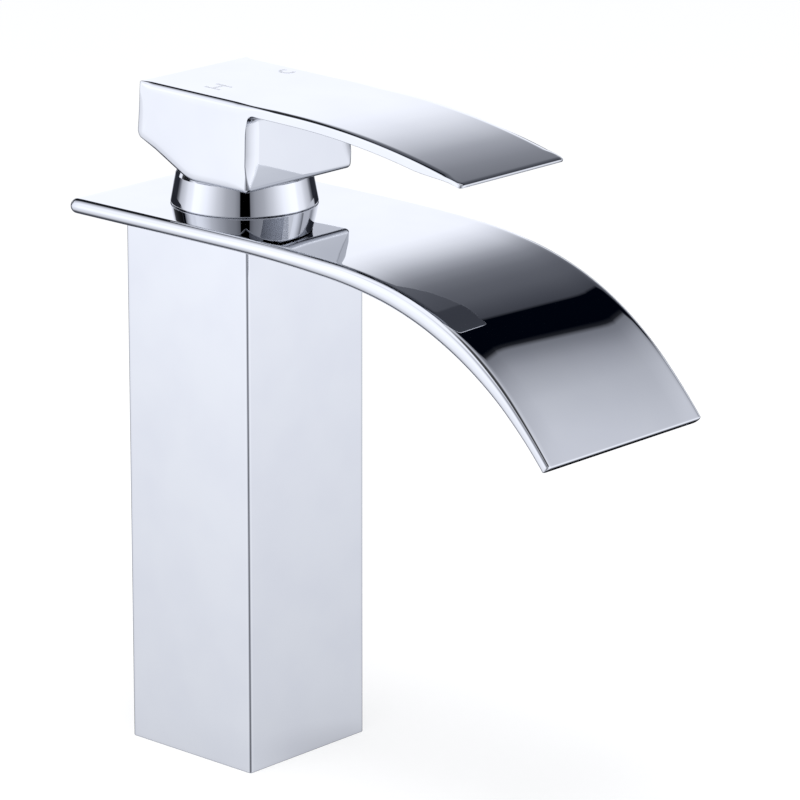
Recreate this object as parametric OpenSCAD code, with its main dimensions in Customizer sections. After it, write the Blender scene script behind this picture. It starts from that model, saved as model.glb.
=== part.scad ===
// Single-lever waterfall basin faucet.
// Millimetres. +Z is up, the spout and the lever point to -Y, +X is the cold side.
// The origin is the centre of the column's foot, on the basin's top.

/* [Column] */
// Outer side of the square column
column_side = 45; // [44:0.5:54]
// Wall of the square column
column_wall = 2.3; // [1.6:0.1:2.6]
// Height of the spout's flat top above the basin
plate_top = 152; // [120:1:260]
// Radius of the column's long edges
column_edge_r = 0.6; // [0.3:0.1:1]

/* [Spout] */
// Width of the spout
spout_w = 61; // [54:0.5:80]
// Distance from the column's centre to the spout's rear edge
spout_rear = 36.8; // [27:0.2:50]
// Thickness of the flat part over the column
spout_t = 4.2; // [3.8:0.1:5]
// Greatest thickness, at the middle of the fall
spout_mid_t = 5.2; // [4.6:0.1:6]
// Thickness of the lip
spout_lip_t = 2.7; // [2.5:0.1:4]
// Length of the fall, measured along the curved top
spout_fall = 124.3; // [80:1:170]
// Slope of the lip under the level
spout_bend = 51; // [25:1:65]
// Wall over and under the water channel
channel_wall = 1.1; // [0.9:0.05:1.2]
// Wall over and under the outlet slot at the lip
lip_wall = 0.7; // [0.6:0.05:0.8]
// Wall at each side of the water channel and its outlet slot
slot_side = 3; // [2.5:0.1:6]
// Thickness of the ribs in the outlet slot
slot_rib_t = 1.2; // [0.8:0.1:2]
// Number of ribs in the outlet slot
slot_ribs = 4; // [2:1:6]

/* [Cartridge] */
// Outer diameter of the ceramic cartridge
cartridge_d = 34.8; // [34:0.1:35]
// Depth of the lever's pivot pin under the spout's flat top
pivot_drop = 3; // [2.5:0.1:3.5]
// Lean of the stem to the front when the lever is down
stem_lean = 12.5; // [10:0.5:12.5]
// Distance from the pivot pin to the ball that drives the discs
stem_arm = 15; // [14.6:0.1:15]
// Side of the stem's square end
stem_side = 8; // [7:0.5:8]
// Diameter of the pivot pin
pin_d = 3; // [2.5:0.1:3.2]
// Diameter of the ports for cold, hot and mixed water
port_d = 6; // [5:0.5:6.5]

/* [Collar] */
// Diameter of the dome collar at the spout
collar_d = 40; // [39.5:0.5:42]
// Height of the collar's cone
cone_h = 8; // [7:0.5:8.2]
// Lean of the collar's cone
cone_lean = 10.9; // [9:0.1:11]
// Wall of the collar's dome
dome_wall = 1.4; // [1:0.1:1.6]
// Diameter of the opening in the collar's dome
dome_opening = 25.2; // [24.4:0.2:26]

/* [Lever] */
// Width of the lever at its hub
lever_w = 41.1; // [40.6:0.1:48]
// Width of the lever at its tip
lever_tip_w = 40.3; // [36:0.1:44]
// Height of the lever's rear edge above the spout's flat top
lever_rise = 33.4; // [32.5:0.1:40]
// Distance from the column's centre to the lever's rear edge
lever_rear = 18.4; // [17.6:0.2:24]
// Length of the curved blade, measured along its top
blade_len = 78.7; // [50:1:100]
// Thickness of the blade
blade_t = 2.7; // [2.2:0.1:3.2]
// Thickness of the blade's tip
blade_tip_t = 1.4; // [1:0.1:2]
// Slope of the blade's tip under the level
blade_slope = 14.7; // [4:0.5:25]
// Slope of the lever's flat top
lever_fall = 1; // [0:0.25:2]
// Height of the hub's underside above the spout
hub_gap = 8.7; // [8.5:0.1:9.5]
// Distance from the column's centre to the hub's front face
hub_front = 20.6; // [20.3:0.1:24]
// Slope of the hub's chamfer at the rear
hub_chamfer = 27.5; // [24:0.5:32]

/* [Base] */
// Height of the base block
base_h = 20; // [18:0.5:30]
// Inner diameter of the threads for the water hoses
inlet_d = 9; // [8.5:0.1:9.2]
// Depth of the threads for the water hoses
inlet_depth = 11; // [9:0.5:11.5]
// Inner diameter of the thread for the fixing stud
stud_d = 6.8; // [5:0.1:6.8]
// Depth of the thread for the fixing stud
stud_depth = 14; // [10:0.5:15]
// Outer diameter of the riser tubes
riser_d = 10; // [9:0.5:10]
// Wall of the riser tubes
riser_wall = 1; // [0.8:0.1:1.5]
// Thread diameter of the tie bolts
tie_d = 4; // [3:0.5:4]

/* [Hidden] */

// Curves with no count of their own are round
$fn = 72;
// Overrun of every cut past the face that it opens
cut = 1;

// Clearances: a slip fit, a running fit, a drop-in fit, a free gap and the film between lapped faces
slip_gap = 0.05;
run_gap = 0.08;
drop_gap = 0.2;
free_gap = 0.3;
lap_gap = 0.05;

// Colours of the finishes
chrome_color = [0.86, 0.87, 0.90];
brass_color = [0.80, 0.66, 0.38];
copper_color = [0.80, 0.50, 0.34];
steel_color = [0.62, 0.63, 0.65];
rubber_color = [0.10, 0.10, 0.11];
plastic_color = [0.90, 0.90, 0.88];
turret_color = [0.25, 0.45, 0.70];
ceramic_color = [0.95, 0.94, 0.90];

// Column
column_h = plate_top - spout_t;
column_bore = column_side - 2 * column_wall;
bore_corner_r = 1;
// The bore widens at the foot into a ledge that the base block bears on
ledge_w = 0.6;
base_seat = column_bore + 2 * ledge_w;

// Spout: share of the whole bend that the top has reached at equal steps along the fall
bend_shares = [0, 0.03, 0.06, 0.2, 0.41, 0.67, 0.89, 1];
// Share of the fall at which the spout is thickest
thickest_share = 0.6;
fall_start = -column_side / 2;
fall_steps = 35;
slot_w = spout_w - 2 * slot_side;
// Depth of the ribs in the outlet slot, as a share of the slot's width
rib_depth_share = 0.25;
// Corners of the half-round edge, and rings of the rounded rear edge
edge_steps = 8;
rear_steps = 5;
rear_last_angle = 80;

// Cartridge: heights are stacked downwards from the pivot
pivot_z = plate_top - pivot_drop;
cart_r = cartridge_d / 2;
cup_r = cart_r + drop_gap;
thread_step = 0.9;
nut_thread_r = cup_r + thread_step;
spout_hole_r = nut_thread_r + free_gap;
cup_depth = 28;
cup_z = pivot_z - cup_depth;
cart_base_h = 4;
fixed_disc_h = 3;
moving_disc_h = 3;
carrier_h = 3.8;
shoulder_h = 19;
neck_h = 16;
ceiling_t = 2.5;
housing_wall = 1.8;
cavity_r = cart_r - housing_wall;
fixed_z = cup_z + cart_base_h;
moving_z = fixed_z + fixed_disc_h + lap_gap;
carrier_z = moving_z + moving_disc_h;
carrier_top = carrier_z + carrier_h;
shoulder_z = cup_z + shoulder_h;
neck_z = shoulder_z + neck_h;
ceiling_z = shoulder_z - ceiling_t;
neck_r = 14;
moving_disc_r = 11;
disc_rim = 1.2;
// Depth of the mixing pocket, and its reach to the front, as shares of the moving disc
pocket_depth_share = 0.5;
pocket_reach_share = 0.5;
carrier_r = 11.5;
seal_w = 1.6;
seal_h = 1.4;

// Places of the ports, from the cartridge's axis
inlet_x = 8;
inlet_y = -6;
outlet_y = 5.5;
outlet_share = 1.17;
outlet_d = port_d * outlet_share;

// Turret
turret_r = 11.1;
turret_rise = 8.5;
turret_top = pivot_z + turret_rise;
flange_r = cavity_r - free_gap;
flange_z = carrier_top + free_gap;
flange_top = ceiling_z - run_gap;
slot_x = stem_side + 2 * free_gap;
slot_y = 12.4;
rail_t = 1.6;
rail_in = turret_r - rail_t;
rail_drop = 2;
pin_len = 2 * (turret_r - free_gap);

// Stem and ball, measured along the stem from the pivot
stem_top = 29;
stem_neck_t = 6;
stem_neck_top = 11.5;
stem_neck_low = 12;
ball_r = 2.4;
ball_shank_r = 1.8;
pocket_floor = 0.4;
// The carrier's travel, with the lever's stops at equal leans to the front and to the rear
disc_y = stem_arm * sin(stem_lean);

// Valve body
valve_gap = 0.1;
valve_side = column_bore - 2 * valve_gap;
valve_corner_r = 1;
valve_floor_t = 13;
valve_z = cup_z - valve_floor_t;
// Passages from the cup to the spout run up the front corners
corner_d = 5.5;
corner_wall = 0.85;
corner_at = valve_side / 2 - corner_wall - corner_d / 2;
gallery_d = 4.4;
gallery_drop = 7;
gallery_z = cup_z - gallery_drop;

// Cartridge nut
nut_z = shoulder_z;
nut_ring_h = 5;
nut_ring_top = plate_top + nut_ring_h;
nut_ring_r = 17;
nut_bore_r = neck_r + drop_gap;
nut_notches = 4;
nut_notch = 4;
nut_notch_depth = 1.5;
o_ring_d = 1.5;

// Collar and its dome, whose sphere is centred on the pivot
collar_r = collar_d / 2;
collar_bore_gap = 0.5;
collar_in_r = nut_ring_r + collar_bore_gap;
cone_top_r = collar_r - cone_h * tan(cone_lean);
cone_top_z = plate_top + cone_h;
dome_r = norm([cone_top_r, cone_top_z - pivot_z]);
dome_in_r = dome_r - dome_wall;
dome_steps = 16;

// Lever, whose hub is hollowed by a sphere round the dome
dome_gap = 0.4;
hub_cavity_r = dome_r + dome_gap;
lever_top = plate_top + lever_rise;
hub_z = plate_top + hub_gap;
// Share of the blade's slope that its top has reached at equal steps along the blade
blade_shares = [0, 0.03, 0.43, 0.78, 1];
// Start of the blade's curve, as a share of the hub's reach to the front
blade_start_share = 0.82;
blade_start = -hub_front * blade_start_share;
// Share of the blade's length over which it has its full thickness
full_t_share = 0.5;
blade_steps = 20;
hub_rear_draft = 1.2;
hub_wall_h = 15;
hub_corner_z = lever_top - hub_wall_h;
chamfer_low_r = 12;
chamfer_high_r = 2.5;
blade_fillet_r = 2;
hub_front_draft = 0.6;
lever_corner_r = 1.6;
hub_edge_r = 1.4;
boss_r = 6.3;
boss_low = 15.5;
boss_bite = 2.5;
socket_gap = 0.1;

// Set screw and its cap, square to the hub's rear wall
screw_d = 5;
screw_len = 6.6;
screw_drop = 10.2;
screw_z = lever_top - screw_drop;
screw_hex = 2.5;
screw_hex_depth = 2.5;
cap_d = 7.2;
cap_t = 2.6;
rear_lean = atan2(hub_rear_draft, hub_wall_h);
screw_y = lever_rear + screw_drop * tan(rear_lean);
tip_angle = stem_lean - rear_lean;
screw_depth = ([cos(stem_lean), sin(stem_lean)] * [screw_y, screw_z - pivot_z]
  - stem_side / 2 - screw_d / 2 * sin(tip_angle) - slip_gap) / cos(tip_angle);

// Base block, gasket, stud and tie bolts
base_gap = 0.1;
base_side = base_seat - 2 * base_gap;
gasket_h = 2.4;
gasket_w = 2;
stud_y = 12;
tie_x = 14;
tie_y = 3;
tie_head_d = 7;
tie_head_h = 4;
tie_head_sink = 0.6;
tie_seat = tie_head_sink + tie_head_h;
tie_thread = 9;
tie_hex = 3;
tie_hex_depth = 2;

// Risers, seated in the base block and the valve body
riser_seat_r = riser_d / 2 + slip_gap;
riser_base_depth = 6;
riser_valve_depth = 10;
riser_end_gap = 0.2;
riser_z0 = base_h - riser_base_depth + riser_end_gap;
riser_z1 = valve_z + riser_valve_depth - riser_end_gap;
groove_h = 2;
groove_inset = 1.2;
groove_r = riser_d / 2 + o_ring_d;
base_groove_z = base_h - groove_inset - groove_h;
valve_groove_z = valve_z + groove_inset;

// Unit vector, and the points of an arc that rounds the corner p between a and b
function unit(v) = v / norm(v);
function turn(a) = a > 180 ? a - 360 : a < -180 ? a + 360 : a;
function fillet(a, p, b, r, n = 8) =
  let (u = unit(a - p), v = unit(b - p), half = acos(u * v) / 2,
       c = p + unit(u + v) * r / sin(half),
       s = p + u * r / tan(half) - c, e = p + v * r / tan(half) - c,
       a0 = atan2(s[1], s[0]), sweep = turn(atan2(e[1], e[0]) - a0))
  [for (i = [0:n]) c + r * [cos(a0 + sweep * i / n), sin(a0 + sweep * i / n)]];

// Value of a table of shares at the share u of its length, and a smooth step from 0 to 1
function at_share(table, u) =
  let (k = min(floor(u * (len(table) - 1)), len(table) - 2), f = u * (len(table) - 1) - k)
  table[k] * (1 - f) + table[k + 1] * f;
function ease(u) = u * u * (3 - 2 * u);

// Spine of a bent sheet: [y, z, slope] at n equal steps of a length, from a start and a first slope
function spine(start, length, slope0, slope1, shares, n, i = 0) =
  let (u = i / n, a = slope0 + (slope1 - slope0) * at_share(shares, u),
       mid = slope0 + (slope1 - slope0) * at_share(shares, min(1, u + 0.5 / n)))
  concat([[start[0], start[1], a]],
         i >= n ? [] : spine(start - length / n * [cos(mid), sin(mid)], length, slope0, slope1, shares, n, i + 1));

// Point at a depth under a station of a spine
function under(s, depth) = [s[0] + depth * sin(s[2]), s[1] - depth * cos(s[2])];

// Square with rounded corners
module round_square(side, r) {
  square([side - 2 * r, side], center = true);
  square([side, side - 2 * r], center = true);
  for (sx = [-1, 1], sy = [-1, 1]) translate([sx, sy] * (side / 2 - r)) circle(r);
}

// Extrusion of a side view, given as [y, z] points, across the part
module side_view(points, width) {
  rotate([90, 0, 90]) linear_extrude(width, center = true) polygon(points);
}

// Round bar or hole that runs on past both of its ends
module through(r, h) {
  translate([0, 0, -cut]) cylinder(r = r, h = h + 2 * cut);
}

// Hexagonal socket, from its mouth down
module hex_socket(across_flats, depth) {
  translate([0, 0, -depth]) cylinder(d = across_flats / cos(30), h = depth + cut, $fn = 6);
}

// Rubber ring with a round section
module o_ring(inner_r, section) {
  rotate_extrude() translate([inner_r + section / 2, 0]) circle(section / 2, $fn = 24);
}

// Frame of the stem: the origin on the pivot, +Z along the leaning stem
module at_stem() {
  translate([0, 0, pivot_z]) rotate([stem_lean, 0, 0]) children();
}

// Frame of the set screw: the origin on the hub's rear wall, +Z square to it and out of the hub
module at_screw() {
  translate([0, screw_y, screw_z]) rotate([rear_lean - 90, 0, 0]) children();
}

// Square tube of the column, open at both ends, with the base block's ledge at its foot
module column_shell() {
  color(chrome_color) difference() {
    linear_extrude(column_h) round_square(column_side, column_edge_r);
    translate([0, 0, -cut]) linear_extrude(column_h + 2 * cut) round_square(column_bore, bore_corner_r);
    translate([0, 0, -cut]) linear_extrude(base_h + cut) round_square(base_seat, bore_corner_r);
  }
}

// The spout's top line, and the thickness and the channel's wall at the share u of the fall
fall = spine([fall_start, plate_top], spout_fall, 0, spout_bend, bend_shares, fall_steps);
function fall_t(u) = u < thickest_share
  ? spout_t + (spout_mid_t - spout_t) * ease(u / thickest_share)
  : spout_mid_t + (spout_lip_t - spout_mid_t) * ease((u - thickest_share) / (1 - thickest_share));
function fall_wall(u) = channel_wall + (lip_wall - channel_wall) * ease(u);

// One ring of the spout: a section at a station s whose half-round sides have the radius r
function spout_ring(s, depth, r, core) = [
  for (side = [1, -1], i = [0:edge_steps])
    let (a = side * (90 - 180 * i / edge_steps), m = under(s, depth - r * sin(a)))
    [side * (core + r * cos(a)), m[0], m[1]]
];

// Solid between rings that hold the same number of points, closed by a fan at each end
module ringed_solid(rings) {
  n = len(rings[0]);
  last = len(rings) - 1;
  polyhedron(
    points = [for (ring = rings, p = ring) p],
    faces = concat(
      [for (k = [0:last - 1], i = [0:n - 1]) [k * n + i, k * n + (i + 1) % n, (k + 1) * n + i]],
      [for (k = [0:last - 1], i = [0:n - 1]) [(k + 1) * n + i, k * n + (i + 1) % n, (k + 1) * n + (i + 1) % n]],
      [for (i = [1:n - 2]) [0, i + 1, i]],
      [for (i = [1:n - 2]) [last * n, last * n + i, last * n + i + 1]]));
}

// Plate with half-round edges that runs flat over the column and falls in a curve to the lip
module spout_form() {
  r = spout_t / 2;
  rear = [for (k = [0:rear_steps - 1])
    let (a = rear_last_angle * (1 - k / (rear_steps - 1)))
    spout_ring([spout_rear - r + r * sin(a), plate_top, 0], r, r * cos(a), spout_w / 2 - r)];
  front = [for (k = [0:fall_steps])
    let (t = fall_t(k / fall_steps) / 2) spout_ring(fall[k], t, t, spout_w / 2 - t)];
  ringed_solid(concat(rear, front));
}

// Hollow of the water channel, from the two corner passages round the nut to the slot in the lip
module channel_form() {
  roof = [for (k = [0:fall_steps]) under(fall[k], fall_wall(k / fall_steps))];
  bed = [for (k = [fall_steps:-1:0]) let (u = k / fall_steps) under(fall[k], fall_t(u) - fall_wall(u))];
  out = cut * [cos(spout_bend), sin(spout_bend)];
  back = spout_hole_r + channel_wall;
  side_view(concat([[-back, roof[0][1]]], roof, [roof[fall_steps] - out, bed[0] - out], bed,
                   [[-back, bed[fall_steps][1]]]), slot_w);
  for (s = [-1, 1]) translate([s * corner_at, 0, plate_top - spout_t + channel_wall]) {
    translate([-corner_d / 2, fall_start, 0])
      cube([corner_d, -fall_start - corner_at, spout_t - 2 * channel_wall]);
    translate([0, -corner_at, 0]) cylinder(d = corner_d, h = spout_t - 2 * channel_wall);
  }
}

// Ribs that hold the two walls of the outlet slot apart
module slot_rib_row() {
  lip = fall[fall_steps];
  pitch = slot_w / (slot_ribs + 1);
  for (i = [1:slot_ribs])
    translate([-slot_w / 2 + i * pitch, lip[0], lip[1]]) rotate([spout_bend, 0, 0])
      translate([-slot_rib_t / 2, 0, -2 * spout_mid_t])
        cube([slot_rib_t, slot_w * rib_depth_share, 3 * spout_mid_t]);
}

// Cast spout with its channel, the hole for the cartridge nut and the two corner inlets
module spout() {
  color(chrome_color) difference() {
    spout_form();
    difference() {
      channel_form();
      slot_rib_row();
    }
    translate([0, 0, plate_top - spout_t]) through(spout_hole_r, spout_t);
    for (s = [-1, 1]) translate([s * corner_at, -corner_at, plate_top - spout_t])
      through(corner_d / 2, channel_wall);
  }
}

// Square brass body with the cartridge's cup, two inlets from below and the way up to the spout
module valve_body() {
  color(brass_color) difference() {
    translate([0, 0, valve_z]) linear_extrude(column_h - valve_z) round_square(valve_side, valve_corner_r);
    translate([0, 0, cup_z]) cylinder(r = cup_r, h = cup_depth);
    translate([0, 0, nut_z]) cylinder(r = nut_thread_r, h = nut_ring_top - nut_z);
    for (s = [-1, 1]) translate([s * inlet_x, inlet_y, 0]) {
      translate([0, 0, valve_z]) through(port_d / 2, valve_floor_t);
      translate([0, 0, valve_z - cut]) cylinder(r = riser_seat_r, h = riser_valve_depth + cut);
      translate([0, 0, valve_groove_z]) cylinder(r = groove_r, h = groove_h);
    }
    translate([0, outlet_y, gallery_z]) cylinder(d = outlet_d, h = gallery_drop + cut);
    translate([0, outlet_y, gallery_z]) rotate([90, 0, 0]) cylinder(d = gallery_d, h = outlet_y + corner_at);
    translate([-corner_at, -corner_at, gallery_z]) rotate([0, 90, 0]) cylinder(d = corner_d, h = 2 * corner_at);
    for (s = [-1, 1]) {
      translate([s * corner_at, -corner_at, gallery_z]) cylinder(d = corner_d, h = column_h - gallery_z + cut);
      translate([s * tie_x, tie_y, valve_z]) through(tie_d / 2 + slip_gap, tie_thread);
    }
  }
}

// Brass block in the column's foot, with the hoses' threads, the stud's thread and the tie bolts' seats
module base_block() {
  color(brass_color) difference() {
    union() {
      translate([0, 0, gasket_h]) linear_extrude(base_h - gasket_h) round_square(base_side, bore_corner_r);
      linear_extrude(base_h) round_square(base_side - 2 * gasket_w, bore_corner_r);
    }
    for (s = [-1, 1]) {
      translate([s * inlet_x, inlet_y, 0]) {
        translate([0, 0, -cut]) cylinder(d = inlet_d, h = inlet_depth + cut);
        cylinder(d = port_d, h = base_h);
        translate([0, 0, base_h - riser_base_depth]) cylinder(r = riser_seat_r, h = riser_base_depth + cut);
        translate([0, 0, base_groove_z]) cylinder(r = groove_r, h = groove_h);
      }
      translate([s * tie_x, tie_y, 0]) {
        through(tie_d / 2 + drop_gap, base_h);
        translate([0, 0, -cut]) cylinder(r = tie_head_d / 2 + drop_gap, h = tie_seat + cut);
      }
    }
    translate([0, stud_y, -cut]) cylinder(d = stud_d, h = stud_depth + cut);
  }
}

// Square rubber seal in the rebate round the base block, level with the foot
module base_gasket() {
  color(rubber_color) linear_extrude(gasket_h) difference() {
    round_square(base_side, bore_corner_r);
    round_square(base_side - 2 * gasket_w + 2 * slip_gap, bore_corner_r);
  }
}

// Copper tube that carries water from the base block to the valve body
module riser_tube(s) {
  color(copper_color) translate([s * inlet_x, inlet_y, riser_z0]) difference() {
    cylinder(d = riser_d, h = riser_z1 - riser_z0);
    through(riser_d / 2 - riser_wall, riser_z1 - riser_z0);
  }
}

module hot_riser_tube() riser_tube(-1);

module cold_riser_tube() riser_tube(1);

// One seal at each end of both riser tubes
module riser_o_rings() {
  color(rubber_color)
    for (s = [-1, 1], z = [base_groove_z, valve_groove_z])
      translate([s * inlet_x, inlet_y, z + groove_h / 2])
        o_ring(riser_d / 2 + slip_gap / 2, o_ring_d - slip_gap);
}

// Two socket-head bolts that clamp the base block, the column and the valve body together
module tie_bolts() {
  color(steel_color)
    for (s = [-1, 1]) translate([s * tie_x, tie_y, tie_head_sink]) difference() {
      union() {
        cylinder(d = tie_head_d, h = tie_head_h);
        cylinder(d = tie_d, h = valve_z + tie_thread - tie_head_sink);
      }
      rotate([180, 0, 0]) hex_socket(tie_hex, tie_hex_depth);
    }
}

// Ring nut that holds the cartridge: a threaded skirt in the valve body and a notched ring over the spout
module cartridge_nut() {
  color(brass_color) difference() {
    union() {
      translate([0, 0, nut_z]) cylinder(r = nut_thread_r - slip_gap, h = plate_top - lap_gap - nut_z);
      translate([0, 0, nut_z]) cylinder(r = nut_ring_r, h = nut_ring_top - nut_z);
    }
    translate([0, 0, nut_z]) through(nut_bore_r, nut_ring_top - nut_z);
    translate([0, 0, plate_top + o_ring_d]) rotate_extrude()
      translate([collar_in_r - o_ring_d, 0]) square([o_ring_d, o_ring_d]);
    for (i = [0:nut_notches - 1]) rotate(45 + 360 * i / nut_notches)
      translate([nut_bore_r - cut, -nut_notch / 2, nut_ring_top - nut_notch_depth])
        cube([nut_ring_r, nut_notch, nut_notch_depth + cut]);
  }
}

// Seal between the nut and the collar, which holds the collar by friction
module collar_o_ring() {
  color(rubber_color) translate([0, 0, plate_top + 1.5 * o_ring_d])
    o_ring(collar_in_r - o_ring_d + slip_gap / 2, o_ring_d - slip_gap);
}

// Turned collar: a cone that leans in and a dome whose sphere is centred on the lever's pivot
module dome_collar() {
  low = atan2(cone_top_z - pivot_z, cone_top_r);
  low_in = acos(collar_in_r / dome_in_r);
  rim = acos(dome_opening / 2 / dome_r);
  rim_in = acos(dome_opening / 2 / dome_in_r);
  color(chrome_color) rotate_extrude($fn = 120) polygon(concat(
    [[collar_in_r, plate_top], [collar_r, plate_top]],
    [for (i = [0:dome_steps]) let (a = low + (rim - low) * i / dome_steps)
      [dome_r * cos(a), pivot_z + dome_r * sin(a)]],
    [for (i = [dome_steps:-1:0]) let (a = low_in + (rim_in - low_in) * i / dome_steps)
      [dome_in_r * cos(a), pivot_z + dome_in_r * sin(a)]]));
}

// Round housing with a narrower neck that guides the turret
module cartridge_housing() {
  color(plastic_color) difference() {
    union() {
      translate([0, 0, fixed_z]) cylinder(r = cart_r, h = shoulder_z - fixed_z);
      translate([0, 0, fixed_z]) cylinder(r = neck_r, h = neck_z - fixed_z);
    }
    translate([0, 0, fixed_z - cut]) cylinder(r = cavity_r, h = ceiling_z - fixed_z + cut);
    translate([0, 0, fixed_z]) through(turret_r + run_gap, neck_z - fixed_z);
  }
}

// Places of the three ports, with the diameter of each
ports = [[inlet_x, inlet_y, port_d], [-inlet_x, inlet_y, port_d], [0, outlet_y, outlet_d]];

// Foot of the cartridge with three ports and a recess for a seal at both ends of each
module cartridge_base() {
  color(plastic_color) difference() {
    translate([0, 0, cup_z]) cylinder(r = cart_r, h = cart_base_h);
    for (p = ports) translate([p[0], p[1], cup_z]) {
      through(p[2] / 2, cart_base_h);
      translate([0, 0, -cut]) cylinder(r = p[2] / 2 + seal_w, h = seal_h + cut);
      translate([0, 0, cart_base_h - seal_h]) cylinder(r = p[2] / 2 + seal_w, h = seal_h + cut);
    }
  }
}

// Rubber rings round the ports, under and over the cartridge's foot
module cartridge_seals() {
  color(rubber_color) for (p = ports, z = [cup_z, fixed_z - seal_h]) translate([p[0], p[1], z]) difference() {
    cylinder(r = p[2] / 2 + seal_w - slip_gap, h = seal_h);
    through(p[2] / 2, seal_h);
  }
}

// Lapped disc that stays still, with the three ports
module ceramic_fixed_disc() {
  color(ceramic_color) difference() {
    translate([0, 0, fixed_z]) cylinder(r = cavity_r - run_gap, h = fixed_disc_h);
    for (p = ports) translate([p[0], p[1], fixed_z]) through(p[2] / 2, fixed_disc_h);
  }
}

// Lapped disc that slides and turns, with the mixing pocket in its underside
module ceramic_moving_disc() {
  pocket_r = moving_disc_r - disc_rim;
  color(ceramic_color) translate([0, disc_y, moving_z]) difference() {
    cylinder(r = moving_disc_r, h = moving_disc_h);
    translate([0, 0, -cut]) intersection() {
      cylinder(r = pocket_r, h = moving_disc_h * pocket_depth_share + cut);
      translate([-pocket_r, -moving_disc_r * pocket_reach_share, 0]) cube([2 * pocket_r, 2 * pocket_r, moving_disc_h]);
    }
  }
}

// Carrier over the moving disc, with flats for the turret's rails and a pocket for the stem's ball
module disc_carrier() {
  flat = rail_in - free_gap;
  color(plastic_color) translate([0, disc_y, carrier_z]) difference() {
    intersection() {
      cylinder(r = carrier_r, h = carrier_h);
      translate([-flat, -carrier_r, 0]) cube([2 * flat, 2 * carrier_r, carrier_h]);
    }
    translate([0, 0, pocket_floor]) cylinder(r = ball_r + free_gap, h = carrier_h);
  }
}

// Turning part of the cartridge: it carries the pivot pin and guides the carrier between two rails
module cartridge_turret() {
  color(turret_color) difference() {
    union() {
      translate([0, 0, flange_z]) cylinder(r = turret_r, h = turret_top - flange_z);
      translate([0, 0, flange_z]) cylinder(r = flange_r, h = flange_top - flange_z);
      for (s = [-1, 1]) translate([s * (rail_in + rail_t / 2) - rail_t / 2, -carrier_r / 2, flange_z - rail_drop])
        cube([rail_t, carrier_r, rail_drop + cut]);
    }
    translate([-slot_x / 2, -slot_y / 2, flange_z - cut]) cube([slot_x, slot_y, turret_top - flange_z + 2 * cut]);
    translate([-turret_r, 0, pivot_z]) rotate([0, 90, 0]) through(pin_d / 2 + slip_gap / 2, 2 * turret_r);
  }
}

// Steel pin on which the stem tilts
module pivot_pin() {
  color(steel_color) translate([-pin_len / 2, 0, pivot_z]) rotate([0, 90, 0]) cylinder(d = pin_d, h = pin_len);
}

// Brass stem: a square end for the lever, an eye for the pin and a ball that drives the carrier
module cartridge_stem() {
  color(brass_color) at_stem() difference() {
    union() {
      translate([-stem_side / 2, -stem_side / 2, stem_neck_top])
        cube([stem_side, stem_side, stem_top - stem_neck_top]);
      translate([-stem_side / 2, -stem_neck_t / 2, -stem_neck_low])
        cube([stem_side, stem_neck_t, stem_neck_low + stem_neck_top]);
      translate([0, 0, -stem_arm]) cylinder(r = ball_shank_r, h = stem_arm - stem_neck_low + cut);
      translate([0, 0, -stem_arm]) sphere(ball_r);
    }
    translate([-stem_side / 2, 0, 0]) rotate([0, 90, 0]) through(pin_d / 2 + run_gap, stem_side);
  }
}

// The lever's top line, and the blade's thickness at the share u of its length
blade_z = lever_top - (lever_rear - blade_start) * tan(lever_fall);
blade = spine([blade_start, blade_z], blade_len, lever_fall, blade_slope, blade_shares, blade_steps);
function blade_depth(u) = blade_t + (blade_tip_t - blade_t) * ease(max(0, (u - full_t_share) / (1 - full_t_share)));

// Side view of the lever: the curved blade, the hub with its fillet, and the chamfer at the rear
module lever_side() {
  face_y = -hub_front - hub_front_draft;
  first = len([for (s = blade) if (s[0] > face_y - 2 * blade_fillet_r) s]);
  joint = under(blade[first], blade_depth(first / blade_steps));
  face_top = [face_y, joint[1]];
  face_low = [-hub_front, hub_z];
  rear_low = [lever_rear + hub_rear_draft, hub_corner_z];
  bend = [rear_low[0] - (hub_corner_z - hub_z) / tan(hub_chamfer), hub_z];
  rear_top = [lever_rear, lever_top];
  side_view(concat(
    [rear_top],
    [for (s = blade) [s[0], s[1]]],
    [for (k = [blade_steps:-1:first]) under(blade[k], blade_depth(k / blade_steps))],
    fillet(joint, face_top, face_low, blade_fillet_r),
    [face_low],
    fillet(face_low, bend, rear_low, chamfer_low_r),
    fillet(bend, rear_low, rear_top, chamfer_high_r)), 2 * lever_w);
}

// Outline of the lever from above, with small corner radii
module lever_plan() {
  tip = [for (s = [-1, 1]) [s * lever_tip_w / 2, blade[blade_steps][0]]];
  rear = [for (s = [-1, 1]) [s * lever_w / 2, lever_rear + hub_rear_draft]];
  linear_extrude(lever_top + cut) polygon(concat(
    fillet(rear[0], tip[0], tip[1], lever_corner_r),
    fillet(tip[0], tip[1], rear[1], lever_corner_r),
    fillet(tip[1], rear[1], rear[0], lever_corner_r),
    fillet(rear[1], rear[0], tip[0], lever_corner_r)));
}

// Outline of the lever from the front, which rounds the hub's lower edges
module lever_front() {
  low = [for (s = [-1, 1]) [s * lever_w / 2, hub_z]];
  high = [for (s = [-1, 1]) [s * lever_w / 2, lever_top + cut]];
  translate([0, 2 * lever_rear, 0]) rotate([90, 0, 0])
    linear_extrude(2 * lever_rear - blade[blade_steps][0] + cut) polygon(concat(
      [high[0]], fillet(high[0], low[0], low[1], hub_edge_r), fillet(low[0], low[1], high[1], hub_edge_r), [high[1]]));
}

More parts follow.
